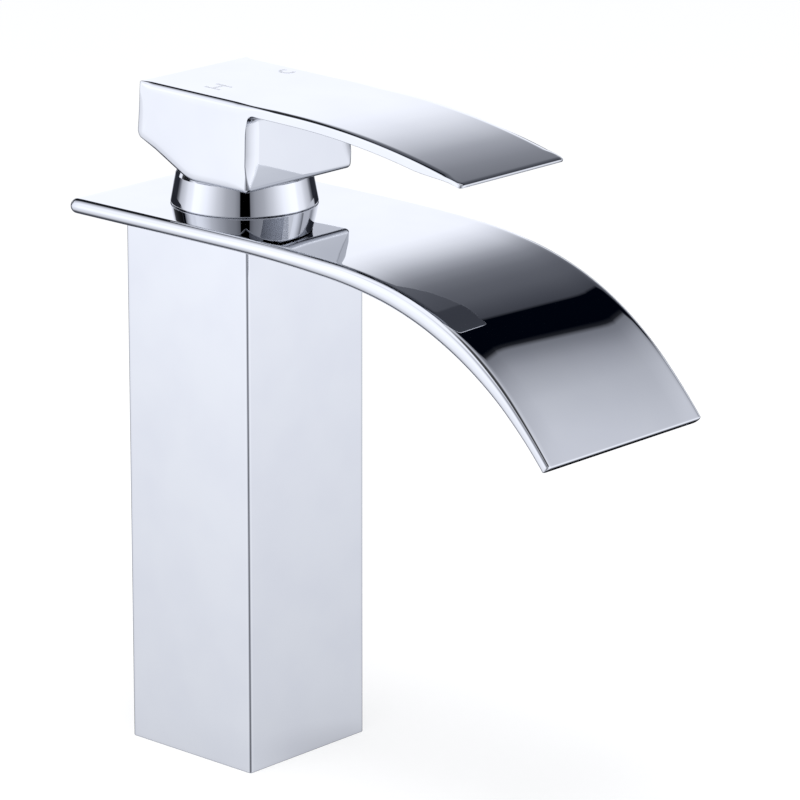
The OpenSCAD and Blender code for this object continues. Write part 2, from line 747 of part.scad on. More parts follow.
// Cast lever: hub and blade in one piece, hollowed by a sphere round the dome, with the stem's socket
module lever_handle() {
  socket = stem_side + 2 * socket_gap;
  color(chrome_color) difference() {
    union() {
      difference() {
        intersection() {
          lever_side();
          lever_plan();
          lever_front();
        }
        translate([0, 0, pivot_z]) sphere(hub_cavity_r, $fn = 96);
      }
      at_stem() translate([0, 0, boss_low]) cylinder(r = boss_r, h = hub_cavity_r + boss_bite - boss_low);
    }
    at_stem() translate([-socket / 2, -socket / 2, boss_low - cut])
      cube([socket, socket, stem_top - boss_low + cut + free_gap]);
    at_screw() translate([0, 0, -screw_depth]) cylinder(r = screw_d / 2 + slip_gap, h = screw_depth + cut);
    at_screw() translate([0, 0, -cap_t]) cylinder(d = cap_d, h = cap_t + cut);
  }
}

// Hexagon-socket set screw that presses on the stem's rear face
module handle_set_screw() {
  color(steel_color) at_screw() translate([0, 0, -screw_depth]) difference() {
    cylinder(d = screw_d, h = screw_len);
    translate([0, 0, screw_len]) hex_socket(screw_hex, screw_hex_depth);
  }
}

// Plug that closes the screw's hole, level with the hub's rear wall
module set_screw_cap() {
  color(chrome_color) at_screw() translate([0, 0, slip_gap - cap_t])
    cylinder(r = cap_d / 2 - slip_gap, h = cap_t - slip_gap);
}

column_shell();
spout();
valve_body();
base_block();
base_gasket();
hot_riser_tube();
cold_riser_tube();
riser_o_rings();
tie_bolts();
cartridge_nut();
dome_collar();
collar_o_ring();
cartridge_housing();
cartridge_base();
cartridge_seals();
ceramic_fixed_disc();
cartridge_turret();
pivot_pin();
cartridge_stem();
lever_handle();
handle_set_screw();
set_screw_cap();
disc_carrier();
ceramic_moving_disc();
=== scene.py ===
"""Looks of a single-lever waterfall basin faucet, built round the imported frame.

Lengths are millimetres until a mesh is made, and metres after that. +Z is up, the spout and the lever
point to -Y, and +X is the cold side. The origin is the centre of the column's foot.
"""

import logging
import math
from collections.abc import Callable
from dataclasses import dataclass
from enum import Enum
from functools import partial
from typing import Any

import bmesh
import bpy
import numpy as np
from mathutils import Matrix, Vector


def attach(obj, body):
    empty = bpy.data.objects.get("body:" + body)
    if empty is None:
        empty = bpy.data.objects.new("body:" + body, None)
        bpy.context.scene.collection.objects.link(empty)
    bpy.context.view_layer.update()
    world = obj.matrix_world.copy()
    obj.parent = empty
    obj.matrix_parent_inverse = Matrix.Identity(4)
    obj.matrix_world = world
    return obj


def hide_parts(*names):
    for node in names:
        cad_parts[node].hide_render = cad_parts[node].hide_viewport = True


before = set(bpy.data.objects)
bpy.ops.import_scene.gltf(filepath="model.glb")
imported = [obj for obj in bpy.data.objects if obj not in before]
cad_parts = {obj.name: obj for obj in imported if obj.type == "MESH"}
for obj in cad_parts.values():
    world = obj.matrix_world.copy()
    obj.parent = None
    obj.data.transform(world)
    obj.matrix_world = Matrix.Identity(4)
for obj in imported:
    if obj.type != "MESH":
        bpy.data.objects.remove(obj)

LOG = logging.getLogger("faucet")
MM = 0.001
# Points nearer than this are one
WELD_MM = 0.002
# Edges between faces that meet at more than this are sharp
SHARP_DEG = 32.0
# Real size of the broad patches in a finish's colour
PATCH_MM = 18.0


# ---------------------------------------------------------------------------------------------------------
# Colours and nodes
# ---------------------------------------------------------------------------------------------------------
def linear(hex_colour: str) -> tuple[float, float, float, float]:
    """Turns an sRGB hex colour into linear RGBA.

    Args:
        hex_colour: Six hex digits after a #.

    Returns:
        Red, green, blue and an alpha of 1, linear.
    """
    parts = [int(hex_colour[i : i + 2], 16) / 255 for i in (1, 3, 5)]
    red, green, blue = (c / 12.92 if c <= 0.04045 else ((c + 0.055) / 1.055) ** 2.4 for c in parts)
    return red, green, blue, 1.0


def add_node(
    tree: bpy.types.NodeTree, kind: str, links: dict | None = None, **settings: Any
) -> bpy.types.Node:
    """Adds a node with its settings and its inputs.

    Args:
        tree: The tree that gets the node.
        kind: Blender's name of the node's type.
        links: Input name or index, with the socket or the value that it takes.
        **settings: Properties of the node itself.

    Returns:
        The new node.
    """
    node = tree.nodes.new(kind)
    for key, value in settings.items():
        setattr(node, key, value)
    for key, value in (links or {}).items():
        if isinstance(value, bpy.types.NodeSocket):
            tree.links.new(value, node.inputs[key])
        else:
            node.inputs[key].default_value = value
    return node


def fill_ramp(node: bpy.types.Node, stops: list[tuple[float, str]]) -> bpy.types.Node:
    """Gives a colour ramp its stops.

    Args:
        node: The colour ramp node.
        stops: Positions from 0 to 1, each with its sRGB hex colour, in rising order.

    Returns:
        The same node.
    """
    elements = node.color_ramp.elements
    while len(elements) < len(stops):
        elements.new(1.0)
    for element, (position, colour) in zip(elements, stops):
        element.position = position
        element.color = linear(colour)
    return node


# ---------------------------------------------------------------------------------------------------------
# Finishes
# ---------------------------------------------------------------------------------------------------------
class Wear(Enum):
    """How a surface was finished, which sets the shape of its fine texture."""

    POLISHED = "polished"
    TURNED = "turned"
    CAST = "cast"
    MOULDED = "moulded"


@dataclass(frozen=True)
class Finish:
    """One finish of the faucet, made as a procedural material.

    Attributes:
        name: Name of the finish and of its material.
        colour: sRGB hex colour of the surface.
        second: sRGB hex colour that it varies towards.
        metallic: 1 for a metal, 0 for the rest.
        roughness: Typical roughness of the surface.
        rough_spread: How far the roughness varies across the surface.
        grain_mm: Real size of the fine texture.
        grain_height_mm: Height of the fine texture.
        wear: How the surface was finished.
        ior: Index of refraction, for finishes that are not metal.
    """

    name: str
    colour: str
    second: str
    metallic: float
    roughness: float
    rough_spread: float
    grain_mm: float
    grain_height_mm: float
    wear: Wear
    ior: float | None = None

    def material(self) -> bpy.types.Material:
        """Builds the material.

        Returns:
            A node material on Object coordinates.
        """
        made = bpy.data.materials.new(self.name)
        made.use_nodes = True
        tree = made.node_tree
        shader = next(n for n in tree.nodes if n.type == "BSDF_PRINCIPLED")
        shader.inputs["Metallic"].default_value = self.metallic
        if self.ior is not None:
            shader.inputs["IOR"].default_value = self.ior
        place = add_node(tree, "ShaderNodeTexCoord")
        scale = self.pattern_scale()
        stretched = add_node(
            tree, "ShaderNodeMapping", {"Vector": place.outputs["Object"], "Scale": self.stretch()}
        )
        grain = add_node(
            tree,
            "ShaderNodeTexNoise",
            {"Vector": stretched.outputs["Vector"], "Scale": scale, "Detail": 3.0, "Roughness": 0.55},
        )
        broad = add_node(
            tree,
            "ShaderNodeTexNoise",
            {"Vector": place.outputs["Object"], "Scale": 1.0 / (PATCH_MM * MM), "Detail": 2.0},
        )
        colour = fill_ramp(
            add_node(tree, "ShaderNodeValToRGB", {"Fac": broad.outputs["Fac"]}),
            [(0.3, self.second), (0.62, self.colour)],
        )
        tree.links.new(colour.outputs["Color"], shader.inputs["Base Color"])
        rough = add_node(
            tree,
            "ShaderNodeMapRange",
            {
                "Value": grain.outputs["Fac"],
                "From Min": 0.3,
                "From Max": 0.7,
                "To Min": max(0.0, self.roughness - self.rough_spread),
                "To Max": self.roughness + self.rough_spread,
            },
        )
        tree.links.new(rough.outputs["Result"], shader.inputs["Roughness"])
        bump = add_node(
            tree,
            "ShaderNodeBump",
            {"Height": grain.outputs["Fac"], "Strength": 1.0, "Distance": self.grain_height_mm * MM},
        )
        tree.links.new(bump.outputs["Normal"], shader.inputs["Normal"])
        return made

    def pattern_scale(self) -> float:
        """Cells of the fine texture to the metre, from its real size."""
        return 1.0 / (self.grain_mm * MM)

    def stretch(self) -> tuple[float, float, float]:
        """Scale of the texture along each axis: turned work has rings, so it is finer along Z."""
        return (0.25, 0.25, 1.0) if self.wear is Wear.TURNED else (1.0, 1.0, 1.0)


# Bright chrome plate over buffed nickel: a mirror, with only a faint haze and no visible grain.
CHROME = Finish("polished_chrome_plate", "#CDCFD3", "#CACCD1", 1.0, 0.010, 0.006, 6.0, 0.0, Wear.POLISHED)
# Unplated zinc casting inside the hub: grey, dull and grainy, so the gap round the dome reads dark.
ZINC = Finish("cast_zinc", "#6E7074", "#5C5E62", 1.0, 0.5, 0.1, 0.7, 0.01, Wear.CAST)
# Chrome dulled by a laser etch, so the mark reads a little greyer than the mirror round it.
ETCH = Finish("etched_chrome", "#D2D4D8", "#C8CACE", 1.0, 0.3, 0.06, 0.5, 0.002, Wear.CAST)
# Machined brass: warm yellow metal with soft turning marks.
BRASS = Finish("machined_brass", "#D9B66B", "#C9A156", 1.0, 0.24, 0.07, 0.6, 0.004, Wear.TURNED)
# Drawn copper tube: reddish metal, dulled by handling.
COPPER = Finish("drawn_copper", "#D98A62", "#B9694A", 1.0, 0.28, 0.08, 1.5, 0.003, Wear.CAST)
# Zinc-plated steel: cool grey metal with a fine grain.
STEEL = Finish("plated_steel", "#B9BCC0", "#A6A9AE", 1.0, 0.3, 0.08, 0.5, 0.003, Wear.TURNED)
# Black nitrile rubber: matt, with a bloom of grey.
RUBBER = Finish("nitrile_rubber", "#1D1D1F", "#2A2A2C", 0.0, 0.62, 0.1, 0.4, 0.006, Wear.MOULDED, 1.52)
# White acetal: smooth moulded plastic with a slight sheen.
ACETAL = Finish("white_acetal", "#ECEBE6", "#E2E1DB", 0.0, 0.36, 0.06, 0.8, 0.003, Wear.MOULDED, 1.48)
# Blue polymer of the turret: moulded, a little glossier than the housing.
BLUE = Finish("blue_moulded_polymer", "#3F73B4", "#35659F", 0.0, 0.38, 0.06, 0.8, 0.003, Wear.MOULDED, 1.5)
# Lapped alumina ceramic: dense, off-white and almost glossy.
ALUMINA = Finish("lapped_alumina", "#F3F0E6", "#EAE6DA", 0.0, 0.16, 0.05, 0.3, 0.001, Wear.POLISHED, 1.76)


# ---------------------------------------------------------------------------------------------------------
# Surfaces
# ---------------------------------------------------------------------------------------------------------
class Sheets:
    """Grids of points that are welded into one closed mesh."""

    def __init__(self) -> None:
        """Starts with no points."""
        self.points: list[np.ndarray] = []
        self.quads: list[np.ndarray] = []
        self.count = 0

    def add(self, grid: np.ndarray, keep: np.ndarray | None = None, wrap: bool = False) -> None:
        """Adds a grid: each cell becomes a quad between four neighbouring points.

        Args:
            grid: Points in millimetres, as rows by columns by 3.
            keep: For each cell, True if it is kept.
            wrap: True if the last column joins the first.
        """
        rows, columns = grid.shape[:2]
        index = np.arange(rows * columns).reshape(rows, columns)
        right = np.roll(index, -1, axis=1)
        if not wrap:
            index, right = index[:, :-1], right[:, :-1]
        cells = np.stack([index[:-1], right[:-1], right[1:], index[1:]], axis=-1)
        cells = cells.reshape(-1, 4) if keep is None else cells[keep]
        self.points.append(grid.reshape(-1, 3))
        self.quads.append(cells + self.count)
        self.count += rows * columns

    def mesh(self, name: str, sharp_deg: float = SHARP_DEG) -> bpy.types.Mesh:
        """Welds the grids and makes the mesh, in metres.

        Args:
            name: Name of the mesh.
            sharp_deg: Angle between faces from which an edge is sharp.

        Returns:
            A mesh whose faces point outwards.
        """
        mesh = bpy.data.meshes.new(name)
        mesh.from_pydata(np.concatenate(self.points) * MM, [], np.concatenate(self.quads).tolist())
        work = bmesh.new()
        work.from_mesh(mesh)
        bmesh.ops.remove_doubles(work, verts=work.verts, dist=WELD_MM * MM)
        bmesh.ops.dissolve_degenerate(work, edges=work.edges, dist=WELD_MM * MM / 2)
        bmesh.ops.recalc_face_normals(work, faces=work.faces)
        work.to_mesh(mesh)
        work.free()
        smooth(mesh, sharp_deg)
        return mesh


def welded(name: str, grid: np.ndarray, sharp_deg: float = SHARP_DEG) -> bpy.types.Mesh:
    """Makes the closed mesh of a single grid whose columns wrap.

    Args:
        name: Name of the mesh.
        grid: Points in millimetres, as rows by columns by 3.
        sharp_deg: Angle between faces from which an edge is sharp.

    Returns:
        The mesh, in metres.
    """
    sheets = Sheets()
    sheets.add(grid, wrap=True)
    return sheets.mesh(name, sharp_deg)


def smooth(mesh: bpy.types.Mesh, sharp_deg: float) -> None:
    """Shades a mesh smooth, with the edges above an angle left sharp.

    Args:
        mesh: The mesh that is shaded.
        sharp_deg: Angle between faces from which an edge is sharp.
    """
    mesh.polygons.foreach_set("use_smooth", np.ones(len(mesh.polygons), bool))
    mesh.set_sharp_from_angle(angle=math.radians(sharp_deg))
    mesh.update()


def unit(vectors: np.ndarray) -> np.ndarray:
    """Vectors of length 1 along the last axis."""
    return vectors / np.maximum(np.linalg.norm(vectors, axis=-1, keepdims=True), 1e-12)


def rounded_path(corners: list[tuple[float, float, float]], steps: int, closed: bool) -> np.ndarray:
    """Rounds the corners of a path: each arc is tangent to both sides, so it starts r / tan(half) away.

    Args:
        corners: Two coordinates of each corner and the radius of its arc; a radius of 0 keeps it sharp.
        steps: Steps of each arc.
        closed: True if the last corner is joined to the first; otherwise both ends stay as they are.

    Returns:
        Points of the path as an array of pairs.
    """
    flat = np.array(corners, float)
    parts = []
    for i, (x, y, radius) in enumerate(flat):
        corner = np.array([x, y])
        if radius <= 0 or (not closed and i in (0, len(flat) - 1)):
            parts.append(corner[None])
            continue
        to_a, to_b = unit(flat[i - 1, :2] - corner), unit(flat[(i + 1) % len(flat), :2] - corner)
        half = math.acos(float(np.clip(to_a @ to_b, -1, 1))) / 2
        centre = corner + unit(to_a + to_b) * radius / math.sin(half)
        first = corner + to_a * radius / math.tan(half) - centre
        last = corner + to_b * radius / math.tan(half) - centre
        start = math.atan2(first[1], first[0])
        sweep = (math.atan2(last[1], last[0]) - start + math.pi) % (2 * math.pi) - math.pi
        angle = start + sweep * np.linspace(0, 1, steps + 1)
        parts.append(centre + radius * np.stack([np.cos(angle), np.sin(angle)], axis=-1))
    return np.concatenate(parts)


def with_supports(path: np.ndarray, near: float, longest: float, closed: bool) -> np.ndarray:
    """Adds points to the long sides of a path: one near each end, and others so that no step is too long.

    Args:
        path: Points as pairs.
        near: Distance of the added points from a long side's ends; it keeps flats flat in the shading.
        longest: Longest step that is left.
        closed: True if the last point is joined to the first.

    Returns:
        The path with its added points.
    """
    ends = np.roll(path, -1, axis=0) if closed else path[1:]
    starts = path if closed else path[:-1]
    parts = []
    for a, b in zip(starts, ends):
        length = float(np.linalg.norm(b - a))
        shares = [0.0]
        if length > 4 * near:
            count = max(1, math.ceil((length - 2 * near) / longest))
            shares += list(np.linspace(near / length, 1 - near / length, count + 1))
        parts.append(a + (b - a) * np.array(shares)[:, None])
    if not closed:
        parts.append(path[-1:])
    return np.concatenate(parts)


def shares_at(table: tuple[float, ...], u: np.ndarray) -> np.ndarray:
    """Straight lines between a table's values, which stand at equal steps from 0 to 1."""
    return np.interp(u, np.linspace(0, 1, len(table)), table)


def ease(u: np.ndarray) -> np.ndarray:
    """Smooth step from 0 to 1: 3u^2 - 2u^3."""
    u = np.clip(u, 0, 1)
    return u * u * (3 - 2 * u)


@dataclass(frozen=True)
class Spine:
    """Top line of a bent sheet, in the side view.

    Attributes:
        y: Start of the line.
        z: Start of the line.
        length: Length along the line.
        slope0: Slope at the start, in degrees under the level.
        slope1: Slope at the end.
        shares: Share of the bend that is reached at equal steps.
        steps: Steps along the line.
    """

    y: float
    z: float
    length: float
    slope0: float
    slope1: float
    shares: tuple[float, ...]
    steps: int

    def slope(self, u: np.ndarray) -> np.ndarray:
        """Slope in radians at the shares u of the length."""
        return np.radians(self.slope0 + (self.slope1 - self.slope0) * shares_at(self.shares, u))

    def stations(self) -> np.ndarray:
        """Adds up equal steps, each laid along the slope at its middle.

        Returns:
            Rows of y, z and slope.
        """
        u = np.linspace(0, 1, self.steps + 1)
        mid = self.slope((u[1:] + u[:-1]) / 2)
        step = self.length / self.steps
        y = self.y - step * np.concatenate([[0], np.cumsum(np.cos(mid))])
        z = self.z - step * np.concatenate([[0], np.cumsum(np.sin(mid))])
        return np.stack([y, z, self.slope(u)], axis=-1)


def under(stations: np.ndarray, depth: np.ndarray) -> np.ndarray:
    """Points square under the stations of a spine: (y + d sin a, z - d cos a)."""
    y, z, slope = stations[..., 0], stations[..., 1], stations[..., 2]
    return np.stack([y + depth * np.sin(slope), z - depth * np.cos(slope)], axis=-1)


def revolve(profile: np.ndarray, count: int) -> np.ndarray:
    """Turns a closed profile round the Z axis: (r cos a, r sin a, z).

    Args:
        profile: Pairs of radius and height.
        count: Columns round the axis.

    Returns:
        Grid whose columns wrap.
    """
    angle = np.linspace(0, 2 * np.pi, count, endpoint=False)
    closed = np.concatenate([profile, profile[:1]])
    radius, height = closed[:, :1], closed[:, 1:]
    height = np.broadcast_to(height, (len(closed), count))
    return np.stack([radius * np.cos(angle), radius * np.sin(angle), height], axis=-1)


def rounded_square(half: float, radius: float, steps: int = 12) -> np.ndarray:
    """Outline of a square with rounded corners, the same number of points for any size.

    Args:
        half: Half of the side.
        radius: Radius of the corners.
        steps: Steps of each corner's arc.

    Returns:
        Points as pairs, four arcs and four sides of five points.
    """
    corners = [(half, half, radius), (-half, half, radius), (-half, -half, radius), (half, -half, radius)]
    arcs = rounded_path(corners, steps, True).reshape(4, steps + 1, 2)
    starts, ends = arcs[:, -1], np.roll(arcs, -1, axis=0)[:, 0]
    # The first and the last point of a side keep it flat in the shading
    share = np.array([0.012, 0.25, 0.5, 0.75, 0.988])[None, :, None]
    sides = starts[:, None] + (ends - starts)[:, None] * share
    return np.concatenate([arcs, sides], axis=1).reshape(-1, 2)


def buffed_edge(
    radius: np.ndarray, reach: np.ndarray, roll: np.ndarray, side_reach: np.ndarray, side_roll: np.ndarray
) -> tuple[np.ndarray, np.ndarray]:
    """Section of a buffed edge: a wide shallow arc that the wheel drew down, a tight one, and a wide one.

    A wide arc turns by its roll over its reach, so its radius is reach / sin(roll). The tight arc turns by
    what is left of 90 degrees.

    Args:
        radius: Radius of the tight arc at each ring.
        reach: Width of the wide arc on the first face at each ring.
        roll: Turn of that arc, in degrees.
        side_reach: Width of the wide arc on the side face.
        side_roll: Turn of that arc, in degrees.

    Returns:
        Distance in from the side face and depth under the first face, as rings by points.
    """
    a = np.radians(np.maximum(roll, 0.01))[:, None]
    b = np.radians(np.maximum(side_roll, 0.01))[:, None]
    wide, last = a * np.linspace(0, 1, 6), np.pi / 2 - b * np.linspace(1, 0, 5)[1:]
    tight = a + (np.pi / 2 - b - a) * np.linspace(0, 1, 10)[1:]
    r, span, side_span = radius[:, None], reach[:, None] / np.sin(a), side_reach[:, None] / np.sin(b)
    x_wide, d_wide = span * np.sin(wide), span * (1 - np.cos(wide))
    x_tight = x_wide[:, -1:] + r * (np.sin(tight) - np.sin(a))
    d_tight = d_wide[:, -1:] + r * (np.cos(a) - np.cos(tight))
    x_last = x_tight[:, -1:] + side_span * (np.sin(last) - np.cos(b))
    d_last = d_tight[:, -1:] + side_span * (np.sin(b) - np.cos(last))
    x = np.concatenate([x_wide, x_tight, x_last], axis=1)
    return x[:, -1:] - x, np.concatenate([d_wide, d_tight, d_last], axis=1)


# ---------------------------------------------------------------------------------------------------------
# Pieces
# ---------------------------------------------------------------------------------------------------------
def place_piece(
    name: str, mesh: bpy.types.Mesh, body: str, slot: str, finish: bpy.types.Material, *nodes: str
) -> bpy.types.Object:
    """Makes a piece, dresses it, and lets it ride on its body in place of its CAD nodes.

    Args:
        name: Name of the piece.
        mesh: Its mesh, in metres.
        body: CAD body that it rides on.
        slot: Material slot of the record that its finish comes from; not used.
        finish: Material of the piece.
        *nodes: CAD nodes that it stands for.

    Returns:
        The piece's object.
    """
    piece = bpy.data.objects.new(name, mesh)
    bpy.context.scene.collection.objects.link(piece)
    mesh.materials.clear()
    mesh.materials.append(finish)
    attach(piece, body)
    if nodes:
        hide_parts(*nodes)
    LOG.info("%s: %d faces on %s", name, len(mesh.polygons), body)
    return piece


@dataclass
class Column:
    """Square column of the faucet, a tube with a ledge at its foot.

    Attributes:
        side: Outer side of the square.
        wall: Thickness of the wall.
        height: Height of the tube.
        edge_r: Radius of the upright edges.
        foot_r: Radius of the edge round the foot.
        bore_r: Radius of the bore's corners.
        ledge: How much wider the bore is at the foot, where the base block sits.
        ledge_h: Height of that.
    """

    side: float = 45.0
    wall: float = 2.3
    height: float = 147.8
    edge_r: float = 0.7
    foot_r: float = 0.25
    bore_r: float = 1.0
    ledge: float = 0.6
    ledge_h: float = 20.0

    def mesh(self) -> bpy.types.Mesh:
        """Carries a profile round a rounded square: each ring has its own half side, corner and height.

        Returns:
            The column's mesh.
        """
        half, bore = self.side / 2, self.side / 2 - self.wall
        r = self.foot_r
        turn = np.radians(np.linspace(90, 0, 7))
        foot = [(half - r + r * math.cos(a), self.edge_r, r - r * math.sin(a)) for a in turn]
        rings = [(bore + self.ledge, self.bore_r, 0.0)] + foot
        rings += [(half, self.edge_r, z) for z in np.linspace(1.0, self.height, 12)]
        rings += [(bore, self.bore_r, self.height), (bore, self.bore_r, self.ledge_h)]
        rings += [(bore + self.ledge, self.bore_r, self.ledge_h), (bore + self.ledge, self.bore_r, 0.0)]
        return welded("column_skin", np.stack([self.ring(*ring) for ring in rings]))

    @staticmethod
    def ring(half: float, radius: float, z: float) -> np.ndarray:
        """Points of a level rounded square."""
        outline = rounded_square(half, radius)
        return np.column_stack([outline, np.full(len(outline), z)])

    def build(self, finish: bpy.types.Material) -> None:
        """Makes the column."""
        place_piece("column_skin", self.mesh(), "faucet_body", "polished_chrome", finish, "column_shell")


@dataclass
class Spout:
    """Cast spout: flat over the column, and bent down to a lip with an outlet slot.

    Attributes:
        width: Width of the plate.
        rear: Y of its rear edge.
        top: Height of its flat top.
        flat_t: Thickness of the flat part.
        mid_t: Thickness at the thickest place of the fall.
        lip_t: Thickness at the lip.
        thickest: Share of the fall where it is thickest.
        fall_start: Y where the fall starts.
        fall: Length of the fall.
        bend: Slope at the lip, in degrees.
        shares: Share of the bend that is reached at equal steps.
        steps: Rings along the fall.
        rim: Rise of the top towards its sides.
        rim_w: Width over which it rises.
        boxy: How much the rounded sides turn boxy towards the lip.
        rim_start: Share of the fall over which the rim grows.
        lip_top_r: Radius of the lip's top edge.
        lip_low_r: Radius of its low edge.
        slot_w: Width of the outlet slot.
        slot_depth: Depth of the slot.
        ribs: Number of ribs in it.
        rib_t: Thickness of a rib.
        rib_length: Distance from the lip to a rib's rear end.
        rib_recess: Distance from the lip to its nose.
        hole_r: Radius of the cartridge's hole.
        frame_half: Half side of the square of faces round the hole.
        frame_steps: Steps along that square's side.
    """

    width: float = 61.0
    rear: float = 36.76
    top: float = 152.0
    flat_t: float = 4.2
    mid_t: float = 5.2
    lip_t: float = 2.7
    thickest: float = 0.6
    fall_start: float = -22.5
    fall: float = 124.3
    bend: float = 51.0
    shares: tuple[float, ...] = (0, 0.03, 0.06, 0.2, 0.41, 0.67, 0.89, 1)
    steps: int = 140
    rim: float = 0.042
    rim_w: float = 8.0
    boxy: float = 1.6
    rim_start: float = 0.25
    lip_top_r: float = 0.65
    lip_low_r: float = 0.4
    slot_w: float = 59.4
    slot_depth: float = 44.0
    ribs: int = 4
    rib_t: float = 1.2
    rib_length: float = 13.75
    rib_recess: float = 3.0
    hole_r: float = 18.8
    frame_half: float = 22.0
    frame_steps: int = 16

    def spine(self) -> Spine:
        """Top line of the fall."""
        return Spine(self.fall_start, self.top, self.fall, 0.0, self.bend, self.shares, self.steps)

    def thickness(self, u: np.ndarray) -> np.ndarray:
        """Thickness of the fall: it grows to its thickest place and then thins out, both as a smooth step.

        Args:
            u: Shares of the fall's length.

        Returns:
            Thickness at each.
        """
        rise = self.flat_t + (self.mid_t - self.flat_t) * ease(u / self.thickest)
        drop = self.mid_t + (self.lip_t - self.mid_t) * ease((u - self.thickest) / (1 - self.thickest))
        return np.where(u < self.thickest, rise, drop)

    def open_height(self, ring: int) -> float:
        """Height of the channel between its walls, at a ring of the fall."""
        u = np.linspace(0, 1, self.steps + 1)
        return float(self.thickness(u[ring : ring + 1])[0]) - self.lip_top_r - self.lip_low_r

    def half_section(self, half: float, radius: float, power: float) -> tuple[np.ndarray, np.ndarray]:
        """Places across half of the width, and how far each has turned into the rounded side.

        The side is a superellipse: sin(a)^power outwards and 1 - cos(a)^power down. A power of 1 is
        half-round, and less is boxier.

        Args:
            half: Half of the width.
            radius: Half of the thickness, which is also how far the side bulges.
            power: Power of the superellipse.

        Returns:
            Distance from the middle, and the share of the turn from the top to half of the thickness.
        """
        flat = np.linspace(0, self.frame_half, self.frame_steps // 2 + 1)
        turns, across = 17, 9
        turn = np.linspace(0, np.pi / 2, turns)
        edge = self.width / 2 - self.flat_t / 2
        rim = np.linspace(self.frame_half, edge, across)[1:]
        side = half - radius + radius * np.sin(turn) ** power
        rim = rim + (side[0] - edge) * np.linspace(0, 1, across)[1:]
        x = np.concatenate([flat, rim[:-1], side])
        cosine = np.maximum(np.cos(turn), 0.0) ** power
        return x, np.concatenate([np.zeros(len(flat) + len(rim) - 1), 1 - cosine])

    def ring(
        self, half: float, t: float, rim: float = 0.0, power: float = 1.0
    ) -> tuple[np.ndarray, np.ndarray]:
        """Closed section of the spout: x and the depth under the top line.

        The top rises by rim * (1 - d / rim_w)^2 at the distance d from the rounded side, which then takes it
        down to half of the thickness.

        Args:
            half: Half of the width.
            t: Thickness.
            rim: Rise of the top at the side.
            power: Power of the rounded side.

        Returns:
            x and depth of the points round the section, from the middle of the top to the right.
        """
        x, turned = self.half_section(half, t / 2, power)
        rise = rim * np.clip(1 - (half - t / 2 - x) / self.rim_w, 0, 1) ** 2
        upper = (t / 2 + rim) * turned - rise
        lower = t - (t / 2) * turned
        xs = np.concatenate([x, x[-2::-1], -x[1:], -x[-2:0:-1]])
        depths = np.concatenate([upper, lower[-2::-1], lower[1:], upper[-2:0:-1]])
        return xs, depths

    def at(self, station: np.ndarray, xs: np.ndarray, depths: np.ndarray) -> np.ndarray:
        """Points of a section that stands square to the spine at a station."""
        return np.column_stack([xs, under(np.broadcast_to(station, (len(xs), 3)), depths)])

    def outer(self) -> np.ndarray:
        """Rings from the rounded rear edge over the flat part and down the fall to the rounded lip.

        The rear edge is a half circle: its rings stand r sin(a) back and are 2 r cos(a) thick.

        Returns:
            Grid whose columns wrap.
        """
        radius = self.flat_t / 2
        core = self.width / 2 - radius
        rings = []
        for a in np.radians(np.linspace(90, 0, 11)):
            t = 2 * radius * math.cos(a)
            xs, depths = self.ring(core + t / 2, max(t, 1e-6))
            y = self.rear - radius + radius * math.sin(a)
            rings.append(self.at(np.array([y, self.top, 0.0]), xs, depths + radius - t / 2))
        flat_y = np.concatenate(
            [
                np.linspace(self.rear - radius, self.frame_half, 7)[1:-1],
                np.linspace(self.frame_half, -self.frame_half, self.frame_steps + 1),
            ]
        )
        xs, depths = self.ring(self.width / 2, self.flat_t)
        rings += [self.at(np.array([y, self.top, 0.0]), xs, depths) for y in flat_y]
        stations = self.spine().stations()
        u = np.linspace(0, 1, self.steps + 1)
        rims = self.rim * ease(u / self.rim_start)
        powers = 2 / (2 + self.boxy * ease(u))
        for station, t, rim, power in zip(stations[:-1], self.thickness(u)[:-1], rims[:-1], powers[:-1]):
            rings.append(self.at(station, *self.ring(self.width / 2, float(t), float(rim), float(power))))
        return np.stack(rings + self.lip(stations[-1], float(rims[-1]), float(powers[-1])))

    def lip(self, end: np.ndarray, rim: float, power: float) -> list[np.ndarray]:
        """Rings from the outside round the lip to the mouth of the slot.

        Each point goes from the outside to the slot by 1 - cos(a), and forwards by sin(a) of the radius,
        which changes from the top's to the bottom's with the depth.

        Args:
            end: Last station of the fall.
            rim: Rise of the top at the side.
            power: Power of the rounded side.

        Returns:
            Rings of points.
        """
        out_x, out_depth = self.ring(self.width / 2, self.lip_t, rim, power)
        in_x, in_depth = self.ring(self.slot_w / 2, self.lip_t - self.lip_top_r - self.lip_low_r)
        in_depth = in_depth + self.lip_top_r
        radius = self.lip_top_r + (self.lip_low_r - self.lip_top_r) * np.clip(out_depth / self.lip_t, 0, 1)
        back = np.array([0.0, math.cos(end[2]), math.sin(end[2])])
        rings = []
        for a in np.radians(np.linspace(0, 90, 11)):
            share = 1 - math.cos(a)
            flat = self.at(end, out_x + (in_x - out_x) * share, out_depth + (in_depth - out_depth) * share)
            rings.append(flat + back * (radius * (1 - math.sin(a)))[:, None])
        return rings

    def slot(self, first: np.ndarray) -> np.ndarray:
        """Rings of the outlet slot, from the lip's end back into the channel, where it closes to a line.

        Args:
            first: Last ring of the outside, which is the slot's mouth.

        Returns:
            Rings of points.
        """
        stations = self.spine().stations()
        back = int(self.slot_depth / self.fall * self.steps)
        rings = [first]
        for k in range(self.steps - 1, self.steps - back, -2):
            open_t = self.open_height(k)
            xs, depths = self.ring(self.slot_w / 2, open_t)
            rings.append(self.at(stations[k], xs, depths + self.lip_top_r))
        rings.append(self.at(stations[k], xs, np.full(len(xs), self.lip_top_r + open_t / 2)))
        return np.stack(rings)

